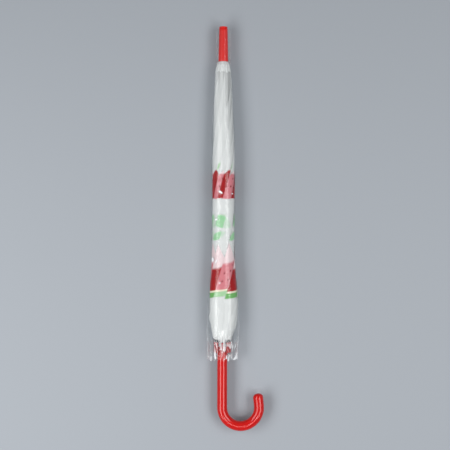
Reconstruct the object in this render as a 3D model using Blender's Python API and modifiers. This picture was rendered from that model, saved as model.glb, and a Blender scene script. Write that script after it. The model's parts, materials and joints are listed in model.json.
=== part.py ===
"""Clear bubble umbrella, rolled up and lying in a clear film sleeve.

The umbrella is modelled upright under one empty, with the shaft along Z and the hook toward X.
That empty then lays it down with the ferrule toward +Y and sets it on the floor.
"""

import math

import bmesh
import bpy
from mathutils import Matrix, Vector

# Whole umbrella, in metres, with heights counted up from the bottom of the hook
LENGTH = 0.800
RIBS = 8
OPEN_ANGLE = math.radians(60)
CLEARANCE = 0.0003
SEAT = 0.0004

# Shaft and ferrule
SHAFT_RADIUS = 0.005
SHAFT_WALL = 0.0007
FERRULE_LENGTH = 0.069
FERRULE_TIP_RADIUS = 0.0082
FERRULE_BASE_RADIUS = 0.0097
FERRULE_EDGE = 0.0009
FERRULE_END = 0.016

# Handle
HANDLE_RADIUS = 0.0100
HANDLE_TOP = 0.168
HANDLE_SOCKET = 0.090
HOOK_RADIUS = 0.0366
HOOK_SWEEP = math.radians(186)
HOOK_END = 0.017

# Crown
CROWN_DROP = 0.011
CROWN_WALL = 0.002
CROWN_HALF_HEIGHT = 0.0055
CROWN_HUB = 0.014
GROOVE_HALF_HEIGHT = 0.0009
WIRE_RADIUS = 0.0006
CAP_THICKNESS = 0.0008

# Ribs, rib tips and rib joints
RIB_RADIUS = 0.00125
RIB_SPARE = 0.002
EYE_RADIUS = 0.0018
EYE_WIDTH = 0.0024
TIP_RADIUS = 0.0025
TIP_LENGTH = 0.021
TIPS_PAST_HANDLE_TOP = 0.013
JOINT_LENGTH = 0.009
JOINT_WALL = 0.0005
PIN_RADIUS = 0.0008
PIN_HEAD = 0.0012
PIN_HEAD_LENGTH = 0.0005

# Stretchers, whose joints stand at this share of the way from the crown to the runner
JOINT_SHARE = 0.5
STRETCHER_WALL = 0.00045
CHEEK_OUT = 0.0014
FORK_OPEN = 0.0068
BLADE_LENGTH = 0.036
BLADE_WIDTH = 0.002
BLADE_DEPTH = 0.0026

# Runner
RUNNER_WALL = 0.0012
RUNNER_RIM = 0.0015
RUNNER_ABOVE = 0.008
RUNNER_BELOW = 0.046
RUNNER_OVER_HANDLE = 0.046
FLANGE_ABOVE = 0.005
FLANGE_BELOW = 0.006
WINDOW_DROP = 0.014
WINDOW_HEIGHT = 0.012

# Catch springs and the stop pin
NOSE_REACH = 0.0017
NOSE_HEIGHT = 0.007
CATCH_WIDTH = 0.0022
CATCH_LEAF = 0.0006
CATCH_LENGTH = 0.028
STOP_RADIUS = 0.0008
STOP_REACH = 0.0016

# Film of the canopy and of the sleeve
FILM = 0.0006
FLAT_HALF_HEIGHT = 0.0219
TOP_WRAP = math.radians(43)
FULL_WRAP = math.radians(180)
FULL_WRAP_SHARE = 0.40
LEAF_COLUMNS = 8
LEAF_ROWS = 20
SLEEVE_COLUMNS = 24
SLEEVE_ROWS = (2, LEAF_ROWS, 3)
HEM_ABOVE_TIPS = 0.003
SLEEVE_FILM = 0.00045
SLEEVE_TOP_ROOM = 0.0034
SLEEVE_OVER_FERRULE = 0.062
SLEEVE_PAST_TIPS = 0.018
MOUTH_HALF_WIDTH = 0.0292
MOUTH_HALF_HEIGHT = 0.0200
MOUTH_WAVE = 0.0012
MOUTH_WAVES = 9
MOUTH_FLARE_SHARE = 0.4

# How thick the rolled film is, from the crown to the hem, as (share of the canopy's length, thickness)
ROLL = (
    (0.00, 0.0010),
    (0.06, 0.0042),
    (0.20, 0.0067),
    (0.35, 0.0083),
    (0.68, 0.0071),
    (0.875, 0.0124),
    (0.935, 0.0084),
    (1.00, 0.0044),
)

# Colours, as linear red, green and blue
RED = (0.58, 0.035, 0.025)
FERRULE_RED = (0.70, 0.085, 0.072)
BLACK = (0.02, 0.02, 0.022)
STEEL = (0.55, 0.56, 0.58)
WHITE = (0.78, 0.79, 0.80)
FILM_WHITE = (0.80, 0.83, 0.85)
SLEEVE_CLEAR = (0.85, 0.87, 0.90)

# Sizes that follow from the ones above
BORE = SHAFT_RADIUS + CLEARANCE
GORE_ANGLE = 2 * math.pi / RIBS
FERRULE_BASE = LENGTH - FERRULE_LENGTH
CROWN_HEIGHT = FERRULE_BASE - CROWN_DROP
HUB_RADIUS = BORE + CROWN_WALL
CROWN_PIVOT_RADIUS = HUB_RADIUS + CLEARANCE + EYE_RADIUS
CROWN_FLANGE_RADIUS = CROWN_PIVOT_RADIUS + EYE_RADIUS
EYE_HOLE = WIRE_RADIUS + CLEARANCE + 0.00005
KEYWAY_RADIUS = SHAFT_RADIUS + NOSE_REACH + CLEARANCE
BARREL_RADIUS = KEYWAY_RADIUS + RUNNER_WALL
RUNNER_PIVOT_RADIUS = BARREL_RADIUS + CLEARANCE + BLADE_DEPTH / 2
RUNNER_FLANGE_RADIUS = RUNNER_PIVOT_RADIUS + RUNNER_RIM
TIP_RING_RADIUS = RUNNER_FLANGE_RADIUS + RIB_RADIUS + RIB_SPARE

# The linkage, closed and open
RIB_DROP = CROWN_HEIGHT - HANDLE_TOP + TIPS_PAST_HANDLE_TOP
RIB_SPREAD = TIP_RING_RADIUS - CROWN_PIVOT_RADIUS
RIB_LENGTH = math.hypot(RIB_DROP, RIB_SPREAD)
RIB_SPLAY = math.atan2(RIB_SPREAD, RIB_DROP)
RUNNER_HEIGHT = HANDLE_TOP + RUNNER_OVER_HANDLE + RUNNER_BELOW
JOINT_DISTANCE = JOINT_SHARE * (CROWN_HEIGHT - RUNNER_HEIGHT)
JOINT_RADIUS = CROWN_PIVOT_RADIUS + JOINT_DISTANCE * math.sin(RIB_SPLAY)
JOINT_HEIGHT = CROWN_HEIGHT - JOINT_DISTANCE * math.cos(RIB_SPLAY)
STRETCHER_SPREAD = RUNNER_PIVOT_RADIUS - JOINT_RADIUS
STRETCHER_LENGTH = math.hypot(JOINT_HEIGHT - RUNNER_HEIGHT, STRETCHER_SPREAD)
STRETCHER_LEAN = math.asin(STRETCHER_SPREAD / STRETCHER_LENGTH)
OPEN_JOINT_RADIUS = CROWN_PIVOT_RADIUS + JOINT_DISTANCE * math.sin(OPEN_ANGLE)
OPEN_JOINT_HEIGHT = CROWN_HEIGHT - JOINT_DISTANCE * math.cos(OPEN_ANGLE)
OPEN_LEAN = math.asin((RUNNER_PIVOT_RADIUS - OPEN_JOINT_RADIUS) / STRETCHER_LENGTH)
OPEN_RUNNER_HEIGHT = OPEN_JOINT_HEIGHT - STRETCHER_LENGTH * math.cos(OPEN_LEAN)
RUNNER_TRAVEL = OPEN_RUNNER_HEIGHT - RUNNER_HEIGHT

# The rib joint and the fork that turns on it
JOINT_BORE = RIB_RADIUS + CLEARANCE
JOINT_OUTSIDE = JOINT_BORE + JOINT_WALL
FORK_INSIDE = JOINT_OUTSIDE + CLEARANCE
FORK_OUTSIDE = FORK_INSIDE + STRETCHER_WALL
PIN_REACH = FORK_OUTSIDE + CLEARANCE + PIN_HEAD_LENGTH
FORK_REACH = max(
    math.hypot(JOINT_RADIUS + PIN_HEAD, PIN_REACH),
    math.hypot(JOINT_RADIUS + CHEEK_OUT, FORK_OUTSIDE),
)

# The canopy, from its top edge under the cap to its hem above the rib tips
CANOPY_TOP = CROWN_HEIGHT + CROWN_HALF_HEIGHT - SEAT
TIP_TOP = CROWN_HEIGHT - RIB_LENGTH * math.cos(RIB_SPLAY) + TIP_LENGTH
HEM = TIP_TOP + HEM_ABOVE_TIPS
CAP_BOTTOM = CANOPY_TOP + SEAT + CLEARANCE
SLEEVE_TOP = FERRULE_BASE + SLEEVE_OVER_FERRULE
SLEEVE_MOUTH = TIP_TOP - TIP_LENGTH - SLEEVE_PAST_TIPS
CATCH_AZIMUTH = GORE_ANGLE / 2


# Scene and materials


def clear_scene():
    for obj in list(bpy.data.objects):
        bpy.data.objects.remove(obj, do_unlink=True)
    for collection in list(bpy.data.collections):
        bpy.data.collections.remove(collection)


def new_collection(name, hidden=False):
    collection = bpy.data.collections.new(name)
    bpy.context.scene.collection.children.link(collection)
    collection.hide_render = hidden
    return collection


def material(name, colour, roughness, metallic=0.0, alpha=1.0):
    made = bpy.data.materials.new(name)
    made.use_nodes = True
    shader = made.node_tree.nodes["Principled BSDF"]
    shader.inputs["Base Color"].default_value = (*colour, 1.0)
    shader.inputs["Roughness"].default_value = roughness
    shader.inputs["Metallic"].default_value = metallic
    shader.inputs["Alpha"].default_value = alpha
    made.diffuse_color = (*colour, alpha)
    return made


def new_object(name, data, collection, parent=None, look=None):
    obj = bpy.data.objects.new(name, data)
    collection.objects.link(obj)
    obj.parent = parent
    if look is not None:
        obj.data.materials.clear()
        obj.data.materials.append(look)
    return obj


def empty(name, parent, place):
    obj = bpy.data.objects.new(name, None)
    PARTS.objects.link(obj)
    obj.empty_display_size = 0.01
    obj.parent = parent
    obj.matrix_local = place
    return obj


def tool(name, data):
    obj = new_object(name, data, CUTTERS)
    obj.hide_render = True
    obj.display_type = "WIRE"
    return obj


# Shapes


def mesh_of(name, shape):
    mesh = bpy.data.meshes.new(name)
    shape.to_mesh(mesh)
    shape.free()
    return mesh


def turned(name, outline, steps, ring=False):
    """A profile in the XZ plane, turned about Z. Its outer side runs from top to bottom."""
    shape = bmesh.new()
    points = [shape.verts.new((radius, 0, height)) for radius, height in outline]
    for start, end in zip(points, points[1:]):
        shape.edges.new((start, end))
    if ring:
        shape.edges.new((points[-1], points[0]))
    obj = tool(name + "_profile", mesh_of(name, shape))
    screw = obj.modifiers.new("turn", "SCREW")
    screw.angle = 2 * math.pi
    screw.axis = "Z"
    screw.steps = steps
    screw.render_steps = steps
    screw.use_merge_vertices = True
    screw.merge_threshold = 0.00001
    return obj


def add_box(shape, low, high, place=None):
    low = Vector(low)
    high = Vector(high)
    size = high - low
    fit = Matrix.Translation((low + high) / 2) @ Matrix.Diagonal((*size, 1))
    if place is not None:
        fit = place @ fit
    bmesh.ops.create_cube(shape, size=1, matrix=fit)


def add_rod(shape, radius, start, end, segments):
    start = Vector(start)
    end = Vector(end)
    along = end - start
    turn = along.to_track_quat("Z", "Y").to_matrix().to_4x4()
    bmesh.ops.create_cone(
        shape,
        cap_ends=True,
        segments=segments,
        radius1=radius,
        radius2=radius,
        depth=along.length,
        matrix=Matrix.Translation((start + end) / 2) @ turn,
    )


def rod(name, radius, start, end, segments):
    shape = bmesh.new()
    add_rod(shape, radius, start, end, segments)
    return tool(name, mesh_of(name, shape))


def box(name, low, high):
    shape = bmesh.new()
    add_box(shape, low, high)
    return tool(name, mesh_of(name, shape))


def combine(obj, other, operation):
    step = obj.modifiers.new(operation.lower() + "_" + other.name, "BOOLEAN")
    step.operation = operation
    step.solver = "EXACT"
    step.object = other


def finished(obj):
    """The object's mesh with its modifiers carried out."""
    bpy.context.view_layer.update()
    graph = bpy.context.evaluated_depsgraph_get()
    return bpy.data.meshes.new_from_object(obj.evaluated_get(graph))


def plate(name, outline, thickness):
    """A flat outline in the XZ plane, with its thickness along Y."""
    curve = bpy.data.curves.new(name, "CURVE")
    curve.dimensions = "2D"
    curve.fill_mode = "BOTH"
    curve.extrude = thickness / 2
    spline = curve.splines.new("POLY")
    spline.points.add(len(outline) - 1)
    for point, (across, up) in zip(spline.points, outline):
        point.co = (across, up, 0, 1)
    spline.use_cyclic_u = True
    obj = tool(name + "_outline", curve)
    mesh = finished(obj)
    mesh.transform(Matrix.Rotation(math.pi / 2, 4, "X"))
    return mesh


def between(pairs, at):
    """A smooth curve through (place, value) pairs, read at one place."""
    last = len(pairs) - 1
    i = 0
    while i < last - 1 and at > pairs[i + 1][0]:
        i += 1
    slopes = []
    for j in (i, i + 1):
        a = pairs[max(j - 1, 0)]
        b = pairs[min(j + 1, last)]
        slopes.append((b[1] - a[1]) / (b[0] - a[0]))
    (x0, y0), (x1, y1) = pairs[i], pairs[i + 1]
    t = min(max((at - x0) / (x1 - x0), 0), 1)
    width = x1 - x0
    start = (2 * t**3 - 3 * t**2 + 1) * y0 + (t**3 - 2 * t**2 + t) * width * slopes[0]
    end = (3 * t**2 - 2 * t**3) * y1 + (t**3 - t**2) * width * slopes[1]
    return start + end


def smooth(t):
    t = min(max(t, 0), 1)
    return t * t * (3 - 2 * t)


def sheet(name, columns, rows, place, thickness, round_tube=False):
    """A film: a grid bent by place(across, along), closed into a tube if asked, then given its thickness."""
    shape = bmesh.new()
    bmesh.ops.create_grid(shape, x_segments=columns, y_segments=rows, size=0.5)
    for vert in shape.verts:
        vert.co = place(vert.co.x + 0.5, 0.5 - vert.co.y)
    if round_tube:
        bmesh.ops.remove_doubles(shape, verts=shape.verts, dist=0.00001)
    bmesh.ops.recalc_face_normals(shape, faces=shape.faces)
    obj = tool(name + "_sheet", mesh_of(name, shape))
    solid = obj.modifiers.new("film", "SOLIDIFY")
    solid.thickness = thickness
    solid.offset = 0
    return finished(obj)


def around(azimuth):
    return Matrix.Rotation(azimuth, 4, "Z")


def lean(angle):
    """Turns a piece that hangs along -Z outward, toward +X."""
    return Matrix.Rotation(-angle, 4, "Y")


# The stick


def make_shaft():
    inside = SHAFT_RADIUS - SHAFT_WALL
    top = LENGTH - FERRULE_END
    bottom = HANDLE_TOP - HANDLE_SOCKET + CLEARANCE
    obj = turned(
        "shaft",
        [(SHAFT_RADIUS, top), (SHAFT_RADIUS, bottom), (inside, bottom), (inside, top)],
        32,
        ring=True,
    )
    shape = bmesh.new()
    half = CATCH_WIDTH / 2 + CLEARANCE
    for nose_end, ramp in (TOP_NOSE, BOTTOM_NOSE):
        ends = sorted((nose_end - ramp * SEAT, nose_end + ramp * (NOSE_HEIGHT + SEAT)))
        low = (SHAFT_RADIUS / 2, -half, ends[0])
        add_box(shape, low, (2 * SHAFT_RADIUS, half, ends[1]), around(CATCH_AZIMUTH))
    combine(obj, tool("shaft_slots", mesh_of("shaft_slots", shape)), "DIFFERENCE")
    reach = Vector((SHAFT_RADIUS + STOP_REACH, 0, 0))
    up = Vector((0, 0, STOP_HEIGHT))
    hole = rod("stop_hole", STOP_RADIUS + CLEARANCE, up - reach, up + reach, 12)
    combine(obj, hole, "DIFFERENCE")
    new_object("shaft", finished(obj), PARTS, ROOT, SHAFT_LOOK)
    pin = rod("stop_rod", STOP_RADIUS, up - reach, up + reach, 12)
    new_object("runner_stop", finished(pin), PARTS, ROOT, STEEL_LOOK)


def make_ferrule():
    ceiling = LENGTH - FERRULE_END + CLEARANCE
    edge = FERRULE_EDGE
    groove = 2.2 * edge
    slope = (FERRULE_BASE_RADIUS - FERRULE_TIP_RADIUS) / FERRULE_LENGTH
    ring = FERRULE_TIP_RADIUS + slope * groove
    obj = turned(
        "ferrule",
        [
            (0, LENGTH),
            (FERRULE_TIP_RADIUS - edge, LENGTH),
            (FERRULE_TIP_RADIUS, LENGTH - edge),
            (ring, LENGTH - groove),
            (ring - edge / 3, LENGTH - groove - edge / 3),
            (ring - edge / 3, LENGTH - groove - edge),
            (ring + slope * edge, LENGTH - groove - 4 * edge / 3),
            (FERRULE_BASE_RADIUS, FERRULE_BASE + edge),
            (FERRULE_BASE_RADIUS - edge / 2, FERRULE_BASE),
            (BORE, FERRULE_BASE),
            (BORE, ceiling),
            (0, ceiling),
        ],
        32,
    )
    new_object("ferrule", finished(obj), PARTS, ROOT, FERRULE_LOOK)


def make_handle():
    """The J handle, swept as one bevelled curve and drilled for the shaft."""
    centre_up = HOOK_RADIUS + HANDLE_RADIUS
    rounding = HANDLE_RADIUS * 0.12
    path = [
        (0, HANDLE_TOP, 1 - rounding / HANDLE_RADIUS),
        (0, HANDLE_TOP - rounding, 1),
        (0, HANDLE_TOP - 0.010, 1),
    ]
    steps = 22
    for i in range(steps + 1):
        turn = HOOK_SWEEP * i / steps
        across = HOOK_RADIUS * (1 - math.cos(turn))
        path.append((across, centre_up - HOOK_RADIUS * math.sin(turn), 1))
    end_across, end_up = path[-1][:2]
    heading = Vector((math.sin(HOOK_SWEEP), -math.cos(HOOK_SWEEP)))
    for i in range(7):
        turn = math.pi / 2 * i / 6
        far = HOOK_END + HANDLE_RADIUS * 0.75 * math.sin(turn)
        narrow = max(math.cos(turn), 0.12)
        path.append((end_across + heading.x * far, end_up + heading.y * far, narrow))
    curve = bpy.data.curves.new("handle", "CURVE")
    curve.dimensions = "3D"
    curve.bevel_depth = HANDLE_RADIUS
    curve.bevel_resolution = 6
    curve.use_fill_caps = True
    spline = curve.splines.new("POLY")
    spline.points.add(len(path) - 1)
    for point, (across, up, size) in zip(spline.points, path):
        point.co = (across, 0, up, 1)
        point.radius = size
    swept = tool("handle_sweep", curve)
    mesh = finished(swept)
    shape = bmesh.new()
    shape.from_mesh(mesh)
    bmesh.ops.remove_doubles(shape, verts=shape.verts, dist=0.00001)
    bmesh.ops.recalc_face_normals(shape, faces=shape.faces)
    obj = tool("handle_solid", mesh_of("handle_solid", shape))
    low = (0, 0, HANDLE_TOP - HANDLE_SOCKET)
    socket = rod("handle_bore", BORE, low, (0, 0, HANDLE_TOP + HANDLE_RADIUS), 24)
    combine(obj, socket, "DIFFERENCE")
    new_object("handle", finished(obj), PARTS, ROOT, HANDLE_LOOK)


def make_crown():
    top = CROWN_HEIGHT + CROWN_HALF_HEIGHT
    low = CROWN_HEIGHT - CROWN_HALF_HEIGHT
    groove_in = CROWN_PIVOT_RADIUS - WIRE_RADIUS - CLEARANCE
    boss = FERRULE_BASE - SEAT
    obj = turned(
        "crown",
        [
            (HUB_RADIUS, boss),
            (HUB_RADIUS, top),
            (CROWN_FLANGE_RADIUS, top),
            (CROWN_FLANGE_RADIUS, CROWN_HEIGHT + GROOVE_HALF_HEIGHT),
            (groove_in, CROWN_HEIGHT + GROOVE_HALF_HEIGHT),
            (groove_in, CROWN_HEIGHT - GROOVE_HALF_HEIGHT),
            (CROWN_FLANGE_RADIUS, CROWN_HEIGHT - GROOVE_HALF_HEIGHT),
            (CROWN_FLANGE_RADIUS, low),
            (HUB_RADIUS, low),
            (HUB_RADIUS, CROWN_HEIGHT - CROWN_HUB),
            (BORE, CROWN_HEIGHT - CROWN_HUB),
            (BORE, boss),
        ],
        32,
        ring=True,
    )
    half = EYE_WIDTH / 2 + CLEARANCE
    shape = bmesh.new()
    for k in range(RIBS):
        add_box(
            shape,
            (HUB_RADIUS, -half, low - SEAT),
            (2 * CROWN_FLANGE_RADIUS, half, top + SEAT),
            around(k * GORE_ANGLE),
        )
    combine(obj, tool("crown_slots", mesh_of("crown_slots", shape)), "DIFFERENCE")
    new_object("crown", finished(obj), PARTS, ROOT, WHITE_LOOK)
    bpy.ops.mesh.primitive_torus_add(
        major_radius=CROWN_PIVOT_RADIUS,
        minor_radius=WIRE_RADIUS,
        major_segments=32,
        minor_segments=8,
    )
    ring = bpy.context.object
    ring.data.transform(Matrix.Translation((0, 0, CROWN_HEIGHT)))
    mesh = ring.data
    bpy.data.objects.remove(ring, do_unlink=True)
    new_object("crown_wire", mesh, PARTS, ROOT, STEEL_LOOK)


def make_cap():
    """The small cone that closes the canopy over the crown."""
    top = FERRULE_BASE - CLEARANCE
    rim = CROWN_FLANGE_RADIUS + FILM + SEAT
    neck = HUB_RADIUS + CLEARANCE
    obj = turned(
        "crown_cap",
        [
            (FERRULE_BASE_RADIUS, top),
            (rim, CAP_BOTTOM + CAP_THICKNESS),
            (rim, CAP_BOTTOM),
            (neck, CAP_BOTTOM),
            (neck, top),
        ],
        32,
        ring=True,
    )
    new_object("crown_cap", finished(obj), PARTS, ROOT, WHITE_LOOK)


def make_catch(name, nose_end, ramp):
    """A sprung leaf in the shaft, whose nose stands out through a slot. The ramp runs toward the leaf's foot."""
    inside = SHAFT_RADIUS - SHAFT_WALL - CLEARANCE
    leaf = inside - CATCH_LEAF - CLEARANCE
    foot = CATCH_LENGTH
    outline = [
        (leaf, 0),
        (SHAFT_RADIUS + NOSE_REACH, 0),
        (SHAFT_RADIUS + NOSE_REACH, NOSE_HEIGHT / 4),
        (leaf + CATCH_LEAF, NOSE_HEIGHT),
        (leaf + CATCH_LEAF, foot - 2 * CATCH_LEAF),
        (inside, foot - 2 * CATCH_LEAF),
        (inside, foot),
        (leaf, foot),
    ]
    pivot = Vector((leaf + CATCH_LEAF / 2, 0, nose_end + ramp * (foot - CATCH_LEAF)))
    if ramp < 0:
        outline = [(across, -up) for across, up in reversed(outline)]
    mesh = plate(name, outline, CATCH_WIDTH)
    mesh.transform(Matrix.Translation(Vector((0, 0, nose_end)) - pivot))
    hinge = empty(
        name + "_hinge", ROOT, around(CATCH_AZIMUTH) @ Matrix.Translation(pivot)
    )
    new_object(name, mesh, PARTS, hinge, STEEL_LOOK)


# The runner


def make_runner(slide):
    """The runner about its pivot ring, slotted for the stretchers and keyed for the catch noses."""
    obj = turned(
        "runner",
        [
            (BARREL_RADIUS - CLEARANCE, RUNNER_ABOVE),
            (BARREL_RADIUS, RUNNER_ABOVE - CLEARANCE),
            (BARREL_RADIUS, FLANGE_ABOVE),
            (RUNNER_FLANGE_RADIUS, FLANGE_ABOVE),
            (RUNNER_FLANGE_RADIUS, -FLANGE_BELOW),
            (BARREL_RADIUS, -FLANGE_BELOW),
            (BARREL_RADIUS, CLEARANCE - RUNNER_BELOW),
            (BARREL_RADIUS - CLEARANCE, -RUNNER_BELOW),
            (BORE, -RUNNER_BELOW),
            (BORE, RUNNER_ABOVE),
        ],
        32,
        ring=True,
    )
    shape = bmesh.new()
    half = BLADE_WIDTH / 2 + CLEARANCE
    for k in range(RIBS):
        add_box(
            shape,
            (BARREL_RADIUS, -half, -FLANGE_BELOW - SEAT),
            (2 * RUNNER_FLANGE_RADIUS, half, FLANGE_ABOVE + SEAT),
            around(k * GORE_ANGLE),
        )
    combine(obj, tool("runner_slots", mesh_of("runner_slots", shape)), "DIFFERENCE")
    half = CATCH_WIDTH / 2 + CLEARANCE
    ends = RUNNER_BELOW + RUNNER_ABOVE
    shape = bmesh.new()
    add_box(shape, (0, -half, -ends), (KEYWAY_RADIUS, half, ends), around(CATCH_AZIMUTH))
    combine(obj, tool("runner_keyway", mesh_of("runner_keyway", shape)), "DIFFERENCE")
    shape = bmesh.new()
    add_box(
        shape,
        (BORE, -half, -WINDOW_DROP - WINDOW_HEIGHT),
        (2 * BARREL_RADIUS, half, -WINDOW_DROP),
        around(CATCH_AZIMUTH),
    )
    combine(obj, tool("runner_window", mesh_of("runner_window", shape)), "DIFFERENCE")
    new_object("runner", finished(obj), PARTS, slide, WHITE_LOOK)


# Ribs and stretchers, each about its own pivot and hanging along -Z


def rib_mesh():
    obj = rod("rib_eye", EYE_RADIUS, (0, -EYE_WIDTH / 2, 0), (0, EYE_WIDTH / 2, 0), 16)
    end = TIP_LENGTH * 0.3 - RIB_LENGTH
    start = -(EYE_HOLE + EYE_RADIUS) / 2
    combine(obj, rod("rib_rod", RIB_RADIUS, (0, 0, start), (0, 0, end), 10), "UNION")
    hole = rod("rib_hole", EYE_HOLE, (0, -EYE_WIDTH, 0), (0, EYE_WIDTH, 0), 12)
    combine(obj, hole, "DIFFERENCE")
    return finished(obj)


def tip_mesh():
    bore = RIB_RADIUS + CLEARANCE
    top = TIP_LENGTH - RIB_LENGTH
    ceiling = TIP_LENGTH * 0.3 - RIB_LENGTH - CLEARANCE
    outline = [(0, ceiling), (bore, ceiling), (bore, top)]
    outline.append((TIP_RADIUS - CLEARANCE, top))
    outline.append((TIP_RADIUS, top - CLEARANCE))
    for i in range(5):
        turn = math.pi / 2 * i / 4
        low = TIP_RADIUS * (1 - math.sin(turn)) - RIB_LENGTH
        outline.append((TIP_RADIUS * math.cos(turn) if i < 4 else 0, low))
    return finished(turned("rib_tip", outline, 10))


def joint_mesh():
    half = JOINT_LENGTH / 2
    low = -JOINT_DISTANCE - half
    high = -JOINT_DISTANCE + half
    obj = rod("joint_sleeve", JOINT_OUTSIDE, (0, 0, low), (0, 0, high), 12)
    shape = bmesh.new()
    at = -JOINT_DISTANCE
    add_rod(shape, PIN_RADIUS, (0, -PIN_REACH, at), (0, PIN_REACH, at), 10)
    combine(obj, tool("joint_pin", mesh_of("joint_pin", shape)), "UNION")
    inner = PIN_REACH - PIN_HEAD_LENGTH
    for side in (-1, 1):
        name = "joint_head_left" if side < 0 else "joint_head_right"
        ends = ((0, side * inner, at), (0, side * PIN_REACH, at))
        combine(obj, rod(name, PIN_HEAD, *ends, 10), "UNION")
    bore = rod("joint_bore", JOINT_BORE, (0, 0, low - SEAT), (0, 0, high + SEAT), 10)
    combine(obj, bore, "DIFFERENCE")
    return finished(obj)


def stretcher_mesh():
    """A channel that is open toward the rib, forked at the rib joint and narrowed to a blade at the runner."""
    floor_out = -JOINT_OUTSIDE - CLEARANCE
    floor_in = floor_out - STRETCHER_WALL
    fork_end = JOINT_OUTSIDE
    channel_end = BLADE_LENGTH - STRETCHER_LENGTH
    obj = box(
        "channel",
        (floor_in, -FORK_OUTSIDE, channel_end),
        (CHEEK_OUT, FORK_OUTSIDE, fork_end),
    )
    hollow = box(
        "channel_hollow",
        (floor_out, -FORK_INSIDE, channel_end + 4 * STRETCHER_WALL),
        (3 * CHEEK_OUT, FORK_INSIDE, 3 * fork_end),
    )
    combine(obj, hollow, "DIFFERENCE")
    gap = box(
        "fork_gap",
        (3 * floor_in, -FORK_INSIDE, -FORK_OPEN),
        (3 * CHEEK_OUT, FORK_INSIDE, 3 * fork_end),
    )
    combine(obj, gap, "DIFFERENCE")
    reach = 2 * FORK_OUTSIDE
    hole = rod("fork_holes", PIN_RADIUS + CLEARANCE, (0, -reach, 0), (0, reach, 0), 12)
    combine(obj, hole, "DIFFERENCE")
    blade = box(
        "blade",
        (-BLADE_DEPTH / 2, -BLADE_WIDTH / 2, -STRETCHER_LENGTH),
        (BLADE_DEPTH / 2, BLADE_WIDTH / 2, channel_end + 2 * STRETCHER_WALL),
    )
    combine(obj, blade, "UNION")
    end = -STRETCHER_LENGTH
    half = BLADE_WIDTH / 2
    round_end = rod("blade_end", BLADE_DEPTH / 2, (0, -half, end), (0, half, end), 16)
    combine(obj, round_end, "UNION")
    eye = rod("blade_eye", EYE_HOLE * 0.7, (0, -reach, end), (0, reach, end), 10)
    combine(obj, eye, "DIFFERENCE")
    return finished(obj)


def make_ribs():
    rib = rib_mesh()
    tip = tip_mesh()
    joint = joint_mesh()
    stretcher = stretcher_mesh()
    start = Matrix.Translation((CROWN_PIVOT_RADIUS, 0, CROWN_HEIGHT)) @ lean(RIB_SPLAY)
    drop = Matrix.Translation((0, 0, -JOINT_DISTANCE)) @ lean(STRETCHER_LEAN - RIB_SPLAY)
    for k in range(RIBS):
        number = str(k + 1)
        hinge = empty("rib_hinge_" + number, ROOT, around(k * GORE_ANGLE) @ start)
        new_object("rib_" + number, rib.copy(), PARTS, hinge, BLACK_LOOK)
        new_object("rib_tip_" + number, tip.copy(), PARTS, hinge, RED_LOOK)
        new_object("rib_joint_" + number, joint.copy(), PARTS, hinge, STEEL_LOOK)
        pivot = empty("stretcher_hinge_" + number, hinge, drop)
        new_object("stretcher_" + number, stretcher.copy(), PARTS, pivot, BLACK_LOOK)


# The rolled canopy and the sleeve


def inner_radius(height):
    """The radius that the rolled film keeps clear of, round the ribs and the rib joints."""
    start = CROWN_FLANGE_RADIUS + SEAT
    middle = FORK_REACH + CLEARANCE
    rib_at_hem = CROWN_PIVOT_RADIUS + (CROWN_HEIGHT - HEM) * math.tan(RIB_SPLAY)
    end = rib_at_hem + RIB_RADIUS + SEAT
    if height > JOINT_HEIGHT:
        share = (CANOPY_TOP - height) / (CANOPY_TOP - JOINT_HEIGHT)
        return start + (middle - start) * share
    share = (JOINT_HEIGHT - height) / (JOINT_HEIGHT - HEM)
    return middle + (end - middle) * share


def oval(half_width, half_height, azimuth):
    across = half_height * math.cos(azimuth)
    up = half_width * math.sin(azimuth)
    return half_width * half_height / math.hypot(across, up)


def roll_radius(height, azimuth):
    """The outside of the rolled canopy, which lies a little flat."""
    share = (CANOPY_TOP - height) / (CANOPY_TOP - HEM)
    half_width = inner_radius(height) + between(ROLL, share)
    return oval(half_width, min(half_width, FLAT_HALF_HEIGHT), azimuth)


def make_gores():
    """One leaf of film for each gore. It starts on its rib and winds round the roll over its neighbours."""
    bridge = gore_hinge_place()
    for k in range(RIBS):
        place = around(k * GORE_ANGLE) @ bridge
        origin = place.to_translation()

        def wound(across, along, k=k, origin=origin):
            height = CANOPY_TOP + (HEM - CANOPY_TOP) * along
            wrap = TOP_WRAP + (FULL_WRAP - TOP_WRAP) * smooth(along / FULL_WRAP_SHARE)
            azimuth = k * GORE_ANGLE - wrap * across
            facet = math.cos(wrap / LEAF_COLUMNS / 2)
            low = (inner_radius(height) + FILM / 2) / facet
            high = roll_radius(height, azimuth) - FILM / 2
            radius = low + (high - low) * across
            spot = Vector((math.cos(azimuth), math.sin(azimuth), 0)) * radius
            return spot + Vector((0, 0, height)) - origin

        number = str(k + 1)
        hinge = empty("gore_hinge_" + number, ROOT, Matrix.Translation(origin))
        mesh = sheet("gore_" + number, LEAF_COLUMNS, LEAF_ROWS, wound, FILM)
        new_object("gore_" + number, mesh, PARTS, hinge, FILM_LOOK)


def rib_opened(azimuth):
    """How the rib at this azimuth moves when the umbrella opens fully."""
    place = around(azimuth) @ Matrix.Translation((CROWN_PIVOT_RADIUS, 0, CROWN_HEIGHT))
    return place @ lean(OPEN_ANGLE - RIB_SPLAY) @ place.inverted()


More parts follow.
